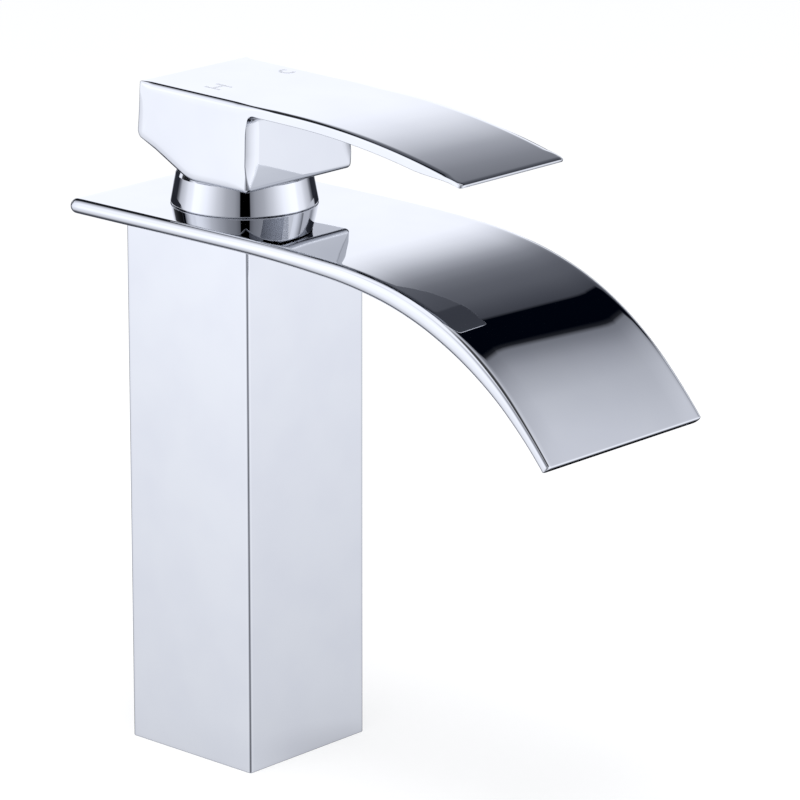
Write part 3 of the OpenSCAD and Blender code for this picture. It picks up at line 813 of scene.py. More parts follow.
    def rib(self, x: float) -> np.ndarray:
        """Rings of one rib between the slot's walls: a bar with a round nose that sinks into both walls.

        The nose is a half circle in plan: at the share n of its length it is sqrt(1 - (1 - n)^2) wide.

        Args:
            x: Middle of the rib.

        Returns:
            Grid whose columns wrap.
        """
        stations = self.spine().stations()
        first = self.steps - round(self.rib_recess / self.fall * self.steps)
        last = self.steps - round(self.rib_length / self.fall * self.steps)
        rings = []
        half, sunk, thinnest = self.rib_t / 2, 0.15, 0.02
        for k in range(first, last, -1):
            nose = min(1.0, (first - k) * self.fall / self.steps / half)
            w = max(half * math.sqrt(1 - (1 - nose) ** 2), thinnest)
            xs = x + w * np.array([-1, 0, 1, 1, 0, -1.0])
            depths = np.array([1, 1, 1, 0, 0, 0]) * (self.open_height(k) + 2 * sunk) + self.lip_top_r - sunk
            rings.append(self.at(stations[k], xs, depths))
        return np.stack([np.broadcast_to(rings[0].mean(0), rings[0].shape), *rings])

    def hole(self) -> list[np.ndarray]:
        """Faces round the cartridge's hole: straight lines from a square's points to the circle's.

        Returns:
            Grids above and below, and the bore's.
        """
        step = np.linspace(-self.frame_half, self.frame_half, self.frame_steps + 1)[:-1]
        side = np.full(self.frame_steps, self.frame_half)
        sides = ((step, -side), (side, step), (-step, side), (-side, -step))
        square = np.concatenate([np.stack(pair, -1) for pair in sides])
        circle = unit(square) * self.hole_r
        # The ring just outside the circle keeps the plate flat beside the bore
        shares = np.array([0, 0.5, 0.97, 1])[:, None, None]
        flat = square + (circle - square) * shares
        levels = (self.top, self.top - self.flat_t)
        grids = [np.concatenate([flat, np.full(flat.shape[:2] + (1,), z)], -1) for z in levels]
        bore = np.stack([np.column_stack([circle, np.full(len(circle), z)]) for z in levels])
        return [*grids, bore]

    def mesh(self) -> bpy.types.Mesh:
        """Joins the outside, the slot, the ribs and the hole.

        Returns:
            The spout's mesh.
        """
        sheets = Sheets()
        outer = self.outer()
        middle = (outer[:-1] + outer[1:]) / 2
        middle = (middle + np.roll(middle, -1, axis=1)) / 2
        keep = (np.abs(middle[..., 0]) > self.frame_half) | (np.abs(middle[..., 1]) > self.frame_half)
        sheets.add(outer, keep, wrap=True)
        sheets.add(self.slot(outer[-1]), wrap=True)
        for grid in self.hole():
            sheets.add(grid, wrap=True)
        pitch = self.slot_w / (self.ribs + 1)
        for i in range(self.ribs):
            sheets.add(self.rib(-self.slot_w / 2 + (i + 1) * pitch), wrap=True)
        return sheets.mesh("spout_skin")

    def build(self, finish: bpy.types.Material) -> None:
        """Makes the spout."""
        place_piece("spout_skin", self.mesh(), "faucet_body", "polished_chrome", finish, "spout")


@dataclass
class DomeCollar:
    """Turned collar: a cone that leans in, and a dome that the hub covers.

    Attributes:
        foot_r: Radius of the cone's foot.
        foot_edge_r: Radius of the edge there, which leaves a thin dark line.
        bore_r: Radius of the bore.
        z0: Height of the foot.
        cone_r: Radius of the cone's top.
        cone_z: Height of the cone's top.
        cone_edge_r: Radius between cone and dome.
        pivot_z: Height of the lever's pivot, which is the dome's centre.
        wall: Thickness of the dome.
        opening_r: Radius of the opening in the dome.
        columns: Columns of faces round the axis.
        sharp_deg: Angle between faces from which an edge is sharp.
    """

    foot_r: float = 20.0
    foot_edge_r: float = 0.35
    bore_r: float = 17.5
    z0: float = 152.0
    cone_r: float = 18.46
    cone_z: float = 160.0
    cone_edge_r: float = 0.25
    pivot_z: float = 149.0
    wall: float = 1.4
    opening_r: float = 12.6
    columns: int = 192
    sharp_deg: float = 38.0

    def mesh(self) -> bpy.types.Mesh:
        """Revolves the closed profile of the wall: a straight cone, then two arcs of one centre.

        Returns:
            The collar's mesh.
        """
        dome_r = math.hypot(self.cone_r, self.cone_z - self.pivot_z)
        inner_r = dome_r - self.wall

        def arc(radius: float, low: float, high: float) -> np.ndarray:
            """Arc of a sphere about the pivot: (r cos a, r sin a)."""
            a = np.linspace(low, high, 22)
            return np.stack([radius * np.cos(a), self.pivot_z + radius * np.sin(a)], -1)

        low = math.atan2(self.cone_z - self.pivot_z, self.cone_r)
        outside = arc(dome_r, low, math.acos(self.opening_r / dome_r))
        inside = arc(inner_r, math.acos(self.opening_r / inner_r), math.acos(self.bore_r / inner_r))
        corners = [
            (self.bore_r, self.z0, 0.0),
            (self.foot_r, self.z0, self.foot_edge_r),
            (*outside[0], self.cone_edge_r),
            (*outside[1], 0.0),
        ]
        wall = with_supports(rounded_path(corners, 6, False), 0.12, 1.2, False)
        profile = np.concatenate([wall, outside[2:], inside])
        return welded("dome_collar_skin", revolve(profile, self.columns), self.sharp_deg)

    def build(self, finish: bpy.types.Material) -> None:
        """Makes the collar."""
        mesh = self.mesh()
        place_piece("dome_collar_skin", mesh, "faucet_body", "polished_chrome", finish, "dome_collar")


@dataclass
class Lever:
    """Cast lever: a square hub and a long thin blade, hollow round the dome.

    Attributes:
        width: Width at the rear.
        tip_w: Width at the blade's tip.
        rear: Y of the rear top edge.
        top: Height of the rear top edge.
        fall: Fall of the hub's top, in degrees.
        blade_start: Y where the blade's bend starts.
        blade_len: Length of the blade along its top.
        blade_slope: Slope at the tip, in degrees.
        blade_shares: Share of the bend that is reached at equal steps.
        blade_t: Thickness of the blade.
        tip_t: Thickness of the tip.
        thin_from: Share of the blade where it starts to thin out.
        tip_roll: How far the tip's top edge is drawn down.
        tip_roll_w: Length over which it is.
        hub_front: Y of the hub's front at the bottom, turned to positive.
        hub_draft: How much farther forward the front is at the top.
        hub_z: Height of the hub's bottom.
        wall_h: Height of the rear wall.
        rear_draft: How much farther back the rear wall is at its foot.
        chamfer: Slope of the chamfer under it, in degrees.
        chamfer_low_r: Radius between chamfer and bottom.
        chamfer_high_r: Radius between rear wall and chamfer.
        fillet_r: Radius between the hub's front and the blade.
        tip_r: Radius of the tip's corners in plan.
        tip_top_r: Radius of the tip's top edge.
        tip_low_r: Radius of its low edge, and of its side edges.
        edge_r: Radius of the rear top edge.
        rear_edge_r: Radius of the rear wall's side edges.
        hub_edge_r: Radius of the hub's top side edges.
        low_edge_r: Radius of the bottom's side edges.
        blade_edge_r: Radius of the blade's top side edges.
        blade_roll: Turn of the wide arc beside them, in degrees.
        blade_reach: Width of that arc.
        front_edge_r: Radius of the front's side edges.
        front_roll: Turn of the wide arc on the front beside them, in degrees.
        front_reach: Width of that arc.
        side_reach: Width of the wide arc on the hub's sides, over its bottom.
        side_roll: Turn of that arc, in degrees.
        front_low_r: Radius of the front's low edge.
        thin_edge_r: Radius of the side edges under the blade.
        flat_end: Width of the columns of faces that take up the edges.
        pivot_z: Height of the pivot.
        cavity_r: Radius of the hollow.
        boss_r: Radius of the boss that grips the stem.
        boss_low: Distance from the pivot to the boss.
        stem_lean: Lean of the stem, in degrees.
        screw_hole_r: Radius of the set screw's hole.
        cap_r: Radius of the cap over it.
        cap_t: Thickness of the cap.
        cap_drop: Distance from the rear top edge down to its centre.
        mark_stroke: Width of a mark's stroke.
        mark_h_x: Left and right of the H.
        mark_h_y: Its ends along Y.
        mark_c_x: Left and right of the C.
        mark_c_y: Its ends along Y.
        steps: Steps along the blade.
    """

    width: float = 41.1
    tip_w: float = 40.3
    rear: float = 18.7
    top: float = 185.4
    fall: float = 1.0
    blade_start: float = -16.892
    blade_len: float = 79.3
    blade_slope: float = 16.0
    blade_shares: tuple[float, ...] = (0, 0.03, 0.33, 0.64, 1)
    blade_t: float = 2.75
    tip_t: float = 0.95
    thin_from: float = 0.78
    tip_roll: float = 0.19
    tip_roll_w: float = 1.0
    hub_front: float = 20.6
    hub_draft: float = 0.6
    hub_z: float = 160.7
    wall_h: float = 15.0
    rear_draft: float = 1.4
    chamfer: float = 27.5
    chamfer_low_r: float = 12.0
    chamfer_high_r: float = 2.5
    fillet_r: float = 2.0
    tip_r: float = 1.2
    tip_top_r: float = 0.3
    tip_low_r: float = 0.25
    edge_r: float = 0.45
    rear_edge_r: float = 0.65
    hub_edge_r: float = 1.5
    low_edge_r: float = 1.4
    blade_edge_r: float = 0.35
    blade_roll: float = 14.0
    blade_reach: float = 1.9
    front_edge_r: float = 0.35
    front_roll: float = 23.0
    front_reach: float = 4.2
    side_reach: float = 1.5
    side_roll: float = 8.0
    front_low_r: float = 1.45
    thin_edge_r: float = 0.2
    flat_end: float = 4.8
    pivot_z: float = 149.0
    cavity_r: float = 21.89
    boss_r: float = 6.3
    boss_low: float = 15.5
    stem_lean: float = 12.5
    screw_hole_r: float = 3.6
    cap_r: float = 3.5
    cap_t: float = 2.6
    cap_drop: float = 10.2
    mark_stroke: float = 0.9
    mark_h_x: tuple[float, float] = (-13.2, -8.0)
    mark_h_y: tuple[float, float] = (-3.7, 1.9)
    mark_c_x: tuple[float, float] = (13.2, 17.6)
    mark_c_y: tuple[float, float] = (-3.7, 1.1)
    steps: int = 160

    def spine(self) -> Spine:
        """Top line of the blade, which goes on from the hub's sloping top.

        Returns:
            The line.
        """
        z = self.top - (self.rear - self.blade_start) * math.tan(math.radians(self.fall))
        return Spine(
            self.blade_start, z, self.blade_len, self.fall, self.blade_slope, self.blade_shares, self.steps
        )

    def depth(self, u: np.ndarray) -> np.ndarray:
        """Thickness of the blade, which thins out near its tip."""
        share = (u - self.thin_from) / (1 - self.thin_from)
        return self.blade_t + (self.tip_t - self.blade_t) * ease(share)

    def hub_corners(self, blade_end: np.ndarray, face_y: float) -> list[tuple[float, float, float]]:
        """Corners of the hub's bottom line, from the rear top edge to the underside of the blade.

        Args:
            blade_end: Point of the blade's underside where the line ends.
            face_y: Y of the hub's front at its top.

        Returns:
            Y, Z and radius of each corner.
        """
        low_y, low_z = self.rear + self.rear_draft, self.top - self.wall_h
        bend_y = low_y - (low_z - self.hub_z) / math.tan(math.radians(self.chamfer))
        return [
            (self.rear, self.top, 0.0),
            (low_y, low_z, self.chamfer_high_r),
            (bend_y, self.hub_z, self.chamfer_low_r),
            (-self.hub_front, self.hub_z, self.front_low_r),
            (face_y, float(blade_end[1]), self.fillet_r),
            (*blade_end, 0.0),
        ]

    def low_shape(self, share: np.ndarray) -> np.ndarray:
        """Shape of the lower side edges, along straight lines between fixed shares.

        Args:
            share: Share of the way along the hub's bottom line; 0 before it and 1 under the blade.

        Returns:
            Rows of the edge's radius, reach and roll, and of the reach and roll on the side.
        """
        rear_r, low_r, front_r = self.rear_edge_r, self.low_edge_r, self.front_edge_r
        on_front = np.interp(share, [0, 0.71, 0.77, 0.93, 1], [0, 0, 1, 1, 0])
        on_side = np.interp(share, [0.01, 0.04, 0.62, 0.70], [0, 1, 1, 0])
        radius = np.interp(
            share,
            [0, 0.04, 0.17, 0.24, 0.71, 0.76, 0.93, 1],
            [self.edge_r, rear_r, rear_r, low_r, low_r, front_r, front_r, self.thin_edge_r],
        )
        return np.stack(
            [
                radius,
                on_front * self.front_reach,
                on_front * self.front_roll,
                on_side * self.side_reach,
                on_side * self.side_roll,
            ]
        )

    def top_shape(self, y: np.ndarray, far: float) -> np.ndarray:
        """Shape of the upper side edges, along straight lines between fixed places.

        Args:
            y: Way forward from the pivot's axis.
            far: The tip's way forward.

        Returns:
            Rows of the edge's radius, reach and roll, and of the reach and roll on the side, which are 0.
        """
        hub_r, blade_r, rear = self.hub_edge_r, self.blade_edge_r, -self.rear
        on_blade = np.interp(y, [16, 30, far - 6.0, far - 0.6], [0, 1, 1, 0])
        radius = np.interp(
            y,
            [rear + 0.3, rear + 2.8, 16, 28, far - 2.5, far - 0.6],
            [self.edge_r, hub_r, hub_r, blade_r, blade_r, self.tip_low_r],
        )
        return np.stack([radius, on_blade * self.blade_reach, on_blade * self.blade_roll, 0 * y, 0 * y])

    def lines(self) -> tuple[np.ndarray, np.ndarray, np.ndarray, np.ndarray]:
        """Top and bottom lines of the side view, paired point by point, with the shape of the side edges.

        Both lines start in the middle of the rear top edge and end in the middle of the tip. The bottom line
        runs down the rear wall, along the chamfer and the underside, up the hub's front and out under the
        blade.

        Returns:
            Top points, bottom points, and the shape of the edge at each: its radius, reach, roll, and the
            reach and roll on the side.
        """
        blade = self.spine().stations()
        u = np.linspace(0, 1, self.steps + 1)
        low = under(blade, self.depth(u))
        into = np.clip(1 - (1 - u) * self.blade_len / self.tip_roll_w, 0, 1)
        blade[:, :2] = under(blade, self.tip_roll * into**2)
        face_y = -self.hub_front - self.hub_draft
        first = int(np.argmax(blade[:, 0] < face_y - 2 * self.fillet_r))
        corners = self.hub_corners(low[first], face_y)
        hub_low = with_supports(rounded_path(corners, 10, False), 0.3, 3.0, False)

        # Rear top edge: the two lines part in the middle of its arc
        ends = [(*corners[1][:2], 0.0), (self.rear, self.top, self.edge_r), (*blade[0, :2], 0.0)]
        rear_arc = rounded_path(ends, 10, False)
        middle = len(rear_arc) // 2
        rear_bottom, rear_top = rear_arc[1 : middle + 1][::-1], rear_arc[middle:-1]
        start = np.linalg.norm(rear_bottom[-1] - hub_low[0]) + 0.1
        hub_low = hub_low[np.linalg.norm(hub_low - hub_low[0], axis=1) > start][:-1]

        # Top points over the hub's bottom line: each share of that line has its place along the top
        walked = np.concatenate([[0], np.cumsum(np.linalg.norm(np.diff(hub_low, axis=0), axis=1))])
        share = walked / walked[-1]
        last_y = float(blade[first, 0]) + 0.5
        top_y = np.interp(share, [0, 0.16, 0.62, 0.9, 1], [17.6, 12.0, -16.0, -21.5, last_y])
        line_y = np.concatenate([[self.rear], blade[:, 0]])[::-1]
        line_z = np.concatenate([[self.top], blade[:, 1]])[::-1]
        hub_top = np.stack([top_y, np.interp(top_y, line_y, line_z)], -1)

        # Tip: a short flat that leans down, two arcs and the end face
        edges = [(*blade[-1, :2], self.tip_top_r), (*low[-1], self.tip_low_r)]
        tip_arc = rounded_path([(*blade[-3, :2], 0.0), *edges, (*low[-3], 0.0)], 8, False)
        end = len(tip_arc) // 2
        tip_top, tip_bottom = tip_arc[1:end], tip_arc[end:-1][::-1]
        support = np.array([0.05, 0.5, 0.92])[:, None]
        tip_top = np.concatenate([blade[-3, :2] + (tip_top[0] - blade[-3, :2]) * support, tip_top])
        tip_bottom = np.concatenate([low[-3] + (tip_bottom[0] - low[-3]) * support, tip_bottom])
        middle = (tip_arc[end - 1] + tip_arc[end]) / 2

        top = np.concatenate([rear_top, hub_top, blade[first:-3, :2], tip_top, middle[None]])
        bottom = np.concatenate([rear_bottom, hub_low, low[first:-3], tip_bottom, middle[None]])
        ahead = np.ones(len(bottom) - len(rear_bottom) - len(hub_low))
        share = np.concatenate([np.zeros(len(rear_bottom)), share, ahead])
        return top, bottom, self.top_shape(-top[:, 0], -float(blade[-1, 0])), self.low_shape(share)

    def half_width(self, y: np.ndarray) -> np.ndarray:
        """Half of the lever's width, which narrows a little to the tip."""
        tip = self.spine().stations()[-1, 0]
        return np.interp(y, [tip, self.rear + self.rear_draft], [self.tip_w / 2, self.width / 2])

    def skin(self) -> np.ndarray:
        """Rings round the lever between the two lines.

        A ring runs across the bottom, turns with the arcs of its edge, climbs the side, turns again, and
        runs across the top. The corners of the tip are then rounded in plan.

        Returns:
            Grid whose columns wrap.
        """
        top, bottom, shape_top, shape_low = self.lines()
        loop = np.concatenate([bottom, top[-2:0:-1]])
        along = unit(np.roll(loop, -1, axis=0) - np.roll(loop, 1, axis=0))
        inward = np.stack([-along[:, 1], along[:, 0]], -1)
        count, third = len(bottom), len(bottom) // 3
        if inward[third] @ (np.array([0.0, self.top - 1.0]) - loop[third]) < 0:
            inward = -inward
        n_low = inward[:count]
        n_top = np.concatenate([inward[:1], inward[count:][::-1], inward[count - 1 : count]])

        columns = 7
        flat = np.linspace(0, 1, columns)
        corner = np.sin(np.linspace(0, np.pi / 2, columns))[1:-1]

        def half_ring(line: np.ndarray, normal: np.ndarray, shape: np.ndarray) -> np.ndarray:
            """Points from the middle of a line's face out to its side edge.

            Args:
                line: Points of the line in the side view.
                normal: Directions into the lever at each.
                shape: Shape of the side edge at each, as rows.

            Returns:
                Rings of points.
            """
            w = self.half_width(line[:, 0])[:, None]
            inset, sunk = buffed_edge(*shape)
            flat_x = (w - self.flat_end) * flat
            corner_x = w - self.flat_end + (self.flat_end - inset[:, :1]) * corner
            x = np.concatenate([flat_x, corner_x, w - inset], axis=1)
            sink = np.concatenate([np.zeros((len(line), len(flat) + len(corner))), sunk], axis=1)
            yz = line[:, None] + normal[:, None] * sink[..., None]
            return np.concatenate([x[..., None], yz], axis=-1)

        lower, upper = half_ring(bottom, n_low, shape_low), half_ring(top, n_top, shape_top)
        share = np.array([0.08, 0.36, 0.64, 0.92])[None, :, None]
        wall = lower[:, -1:] + (upper[:, -1:] - lower[:, -1:]) * share
        right = np.concatenate([lower, wall, upper[:, ::-1]], axis=1)
        left = right[:, -2:0:-1] * np.array([-1, 1, 1])
        grid = np.concatenate([right, left], axis=1)
        return self.rounded_tip(grid)

    def rounded_tip(self, grid: np.ndarray) -> np.ndarray:
        """Rounds the two corners of the tip in plan.

        A point that lies e into the corner moves back along Y by R - sqrt(R^2 - e^2), and less the farther it
        is from the tip.

        Args:
            grid: Points of the skin.

        Returns:
            The moved points.
        """
        grid = grid.copy()
        x, y = np.abs(grid[..., 0]), grid[..., 1]
        into = np.clip(x - (self.half_width(y) - self.tip_r), 0, self.tip_r)
        pull = self.tip_r - np.sqrt(np.maximum(self.tip_r**2 - into**2, 0))
        tip = self.spine().stations()[-1, 0]
        grid[..., 1] = y + pull * ease(1 - (y - tip) / (4 * self.tip_r))
        return grid

    def cavity(self) -> bpy.types.Mesh:
        """Cutter for the hollow: a ball round the pivot, less the boss that grips the stem.

        The profile of an arc and the boss is revolved about the stem, and then leans with it.

        Returns:
            The cutter's mesh.
        """
        rise = math.sqrt(self.cavity_r**2 - self.boss_r**2)
        start = math.atan2(rise, self.boss_r)
        angle = np.linspace(start, -np.pi / 2, 60)
        ball = np.stack([self.cavity_r * np.cos(angle), self.cavity_r * np.sin(angle)], -1)
        profile = np.concatenate([[[0.0, self.boss_low], [self.boss_r, self.boss_low]], ball])
        a = np.linspace(0, 2 * np.pi, 128, endpoint=False)
        radius, height = profile[:, :1], profile[:, 1:]
        height = np.broadcast_to(height, (len(profile), len(a)))
        grid = np.stack([radius * np.cos(a), radius * np.sin(a), height], -1)
        lean = math.radians(self.stem_lean)
        y = grid[..., 1] * math.cos(lean) - grid[..., 2] * math.sin(lean)
        z = grid[..., 1] * math.sin(lean) + grid[..., 2] * math.cos(lean)
        return welded("cavity_cutter", np.stack([grid[..., 0], y, z + self.pivot_z], -1))

    def cap_axis(self) -> tuple[np.ndarray, float]:
        """Finds where the cap lies on the leaning rear wall.

        Returns:
            Centre of the cap, and the lean of the wall in radians.
        """
        lean = math.atan2(self.rear_draft, self.wall_h)
        y = self.rear + self.cap_drop * math.tan(lean)
        return np.array([0.0, y, self.top - self.cap_drop]), lean

    def on_rear_wall(self, profile: np.ndarray, count: int) -> np.ndarray:
        """Revolves a profile about the set screw's axis, which is square to the rear wall.

        Args:
            profile: Pairs of radius and height over the wall.
            count: Columns round the axis.

        Returns:
            Grid whose columns wrap.
        """
        grid = revolve(profile, count)
        centre, lean = self.cap_axis()
        outward = np.array([0.0, math.cos(lean), math.sin(lean)])
        up = np.array([0.0, -math.sin(lean), math.cos(lean)])
        right = np.array([1.0, 0, 0])
        return centre + grid[..., :1] * right + grid[..., 1:2] * up + grid[..., 2:] * outward

    def screw_hole(self) -> bpy.types.Mesh:
        """Cutter for the set screw's hole, with a small chamfer at its mouth.

        Returns:
            The cutter's mesh.
        """
        r, wide = self.screw_hole_r, self.screw_hole_r + 0.3
        profile = np.array([[0.0, -6.0], [r, -6.0], [r, -0.15], [wide, 0.15], [wide, 1.0], [0.0, 1.0]])
        return welded("screw_hole_cutter", self.on_rear_wall(profile, 64))

    def mesh(self) -> bpy.types.Mesh:
        """Closes the skin and takes the hollow and the screw's hole out of it.

        Returns:
            The lever's mesh.
        """
        mesh = welded("lever_skin", self.skin())
        for cutter in (self.cavity(), self.screw_hole()):
            mesh = subtract(mesh, cutter)
        smooth(mesh, SHARP_DEG)
        return mesh

    def marks(self) -> bpy.types.Mesh:
        """Generic H and C on the hub's top: three flat bars, and a ring from 48 to 312 degrees.

        Returns:
            The marks' mesh.
        """
        slope = math.tan(math.radians(self.fall))
        sheets = Sheets()

        def bar(x0: float, x1: float, y0: float, y1: float) -> None:
            """One bar of the H."""
            self.stroke(sheets, np.array([[x0, y0], [x1, y0]]), np.array([[x0, y1], [x1, y1]]), slope)

        width, (left, right), (low, high) = self.mark_stroke, self.mark_h_x, self.mark_h_y
        middle = (low + high) / 2
        bar(left, left + width, low, high)
        bar(right - width, right, low, high)
        bar(left + width, right - width, middle - width / 2, middle + width / 2)
        (x0, x1), (y0, y1) = self.mark_c_x, self.mark_c_y
        mouth = 48.0
        a = np.radians(np.linspace(mouth, 360 - mouth, 34))
        ring = np.stack([np.cos(a), np.sin(a)], -1)
        centre = np.array([(x0 + x1) / 2, (y0 + y1) / 2])
        half = np.array([(x1 - x0) / 2, (y1 - y0) / 2])
        self.stroke(sheets, centre + ring * half, centre + ring * (half - width), slope)
        return sheets.mesh("lever_marks")

    def stroke(self, sheets: Sheets, one: np.ndarray, other: np.ndarray, slope: float) -> None:
        """Adds a thin closed stroke between two lines on the hub's sloping top; it stands 0.01 mm proud.

        Args:
            sheets: The mesh that gets the stroke.
            one: Points of one side, in plan.
            other: Points of the other side.
            slope: Fall of the top to each millimetre forward.
        """

        def lay(line: np.ndarray, up: float) -> np.ndarray:
            """Lifts a plan line onto the top."""
            return np.column_stack([line, self.top - (self.rear - line[:, 1]) * slope + up])

        proud, sunk = 0.01, -0.05
        loop = np.stack([lay(one, proud), lay(other, proud), lay(other, sunk), lay(one, sunk)])
        rows = np.swapaxes(loop, 0, 1)
        ends = [np.broadcast_to(rows[i].mean(0), rows[i].shape)[None] for i in (0, -1)]
        sheets.add(np.concatenate([ends[0], rows, ends[1]]), wrap=True)

    def build(
        self, finish: bpy.types.Material, inside: bpy.types.Material, etch: bpy.types.Material
    ) -> None:
        """Makes the lever, with its hollow left as cast, and its marks.

        Args:
            finish: Material of the outside.
            inside: Material of the hollow.
            etch: Material of the marks.
        """
        piece = place_piece("lever_skin", self.mesh(), "lever", "polished_chrome", finish, "lever_handle")
        mesh = piece.data
        mesh.materials.append(inside)
        # Faces on the ball are the hollow's
        centres = np.empty(len(mesh.polygons) * 3)
        mesh.polygons.foreach_get("center", centres)
        away = np.linalg.norm(centres.reshape(-1, 3) / MM - np.array([0, 0, self.pivot_z]), axis=1)
        mesh.polygons.foreach_set("material_index", (away < self.cavity_r + 0.02).astype(np.int32))
        mesh.update()
        place_piece("lever_marks", self.marks(), "lever", "polished_chrome", etch)

    def build_cap(self, finish: bpy.types.Material) -> None:
        """Makes the domed cap over the set screw.

        Args:
            finish: Material of the cap.
        """
        r, low = self.cap_r, -self.cap_t
        corners = [(0.0, low, 0.0), (r, low, 0.1), (r, -0.05, 0.25), (0.0, 0.0, 0.0)]
        profile = with_supports(rounded_path(corners, 6, False), 0.15, 0.8, False)
        mesh = welded("screw_cap_skin", self.on_rear_wall(profile, 72))
        place_piece("screw_cap_skin", mesh, "lever", "polished_chrome", finish, "set_screw_cap")


def subtract(mesh: bpy.types.Mesh, cutter: bpy.types.Mesh) -> bpy.types.Mesh:
    """Takes one closed mesh out of another.

    Args:
        mesh: The mesh that is cut.
        cutter: The mesh that is taken away; it is removed.

    Returns:
        The new mesh.
    """
    blank, tool = bpy.data.objects.new("blank", mesh), bpy.data.objects.new("tool", cutter)
    for item in (blank, tool):
        bpy.context.scene.collection.objects.link(item)
    cut = blank.modifiers.new("cut", "BOOLEAN")
    cut.operation, cut.solver, cut.object = "DIFFERENCE", "EXACT", tool
    bpy.context.view_layer.update()
    graph = bpy.context.evaluated_depsgraph_get()
    made = bpy.data.meshes.new_from_object(blank.evaluated_get(graph))
    made.name = mesh.name
    for item in (blank, tool):
        bpy.data.objects.remove(item)
    bpy.data.meshes.remove(cutter)
    return made


# ---------------------------------------------------------------------------------------------------------
# Studio
# ---------------------------------------------------------------------------------------------------------
Table = tuple[tuple[float, int], ...]
Span = tuple[float, float]
Socket = bpy.types.NodeSocket
BLACK = (0.0, 0.0, 0.0, 1.0)
WHITE = (1.0, 1.0, 1.0, 1.0)
UP = (0.0, 0.0, 1.0)
HALF_TURN = 180.0
# Daylight that reaches what is not a mirror.
SOFT_LIGHT = "#EEF1F7"
# Painted floor: the part of its white that the lamp gives, so a shadow shows on it.
FLOOR_GREY = "#A8A8A8"


def cool_grey(level: int) -> str:
    """sRGB hex of a grey that leans to blue as daylight does; 0 stays black."""
    parts = (level, min(level + 2, 255), min(level + 9, 255)) if level else (0, 0, 0)
    return "#{:02X}{:02X}{:02X}".format(*parts)


def plain_grey(level: int) -> str:
    """sRGB hex of a neutral grey."""
    return "#" + f"{level:02X}" * 3


def stops(table: Table, span: Span, shade: Callable[[int], str]) -> list[tuple[float, str]]:
    """Stops of a colour ramp: a table's places as shares of a span, and its levels as hex colours."""
    return [((at - span[0]) / (span[1] - span[0]), shade(level)) for at, level in table]


class Work(Enum):
    """What a node does: its type, its settings, the keys of its inputs and the key of its output."""

    TIMES = ("ShaderNodeMath", {"operation": "MULTIPLY"}, (0, 1), "Value")
    TIMES_PLUS = ("ShaderNodeMath", {"operation": "MULTIPLY_ADD"}, (0, 1, 2), "Value")
    LESS = ("ShaderNodeMath", {"operation": "SUBTRACT"}, (0, 1), "Value")
    OVER = ("ShaderNodeMath", {"operation": "DIVIDE"}, (0, 1), "Value")
    LARGER = ("ShaderNodeMath", {"operation": "MAXIMUM"}, (0, 1), "Value")
    SIZE = ("ShaderNodeMath", {"operation": "ABSOLUTE"}, (0,), "Value")
    ANGLE = ("ShaderNodeMath", {"operation": "ARCTAN2"}, (0, 1), "Value")
    ALONG = ("ShaderNodeVectorMath", {"operation": "DOT_PRODUCT"}, (0, 1), "Value")
    DISTANCE = ("ShaderNodeVectorMath", {"operation": "DISTANCE"}, (0, 1), "Value")
    STEP = ("ShaderNodeMapRange", {}, ("Value", "From Min", "From Max"), "Result")
    RAMP = ("ShaderNodeValToRGB", {}, ("Fac",), "Color")
    MIX = ("ShaderNodeMix", {"data_type": "RGBA"}, ("Factor", 6, 7), 2)
    DIM = ("ShaderNodeMix", {"data_type": "RGBA", "blend_type": "MULTIPLY"}, ("Factor", 6, 7), 2)
    LIGHT = ("ShaderNodeBackground", {}, ("Color", "Strength"), 0)
    GLOW = ("ShaderNodeEmission", {}, ("Color", "Strength"), 0)
    PAINT = ("ShaderNodeBsdfDiffuse", {}, ("Color",), 0)
    CLEAR = ("ShaderNodeBsdfTransparent", {}, ("Color",), 0)
    BOTH = ("ShaderNodeAddShader", {}, (0, 1), 0)
    EITHER = ("ShaderNodeMixShader", {}, (0, 1, 2), 0)


def work_in(tree: bpy.types.NodeTree, work: Work, *inputs: Any) -> Socket:
    """Adds a node that does its work on the inputs.

    Args:
        tree: The tree that gets the node.
        work: What the node does.
        *inputs: Sockets or values, in the order of the work's keys.

    Returns:
        The node's output.
    """
    kind, settings, keys, output = work.value
    return add_node(tree, kind, dict(zip(keys, inputs)), **settings).outputs[output]


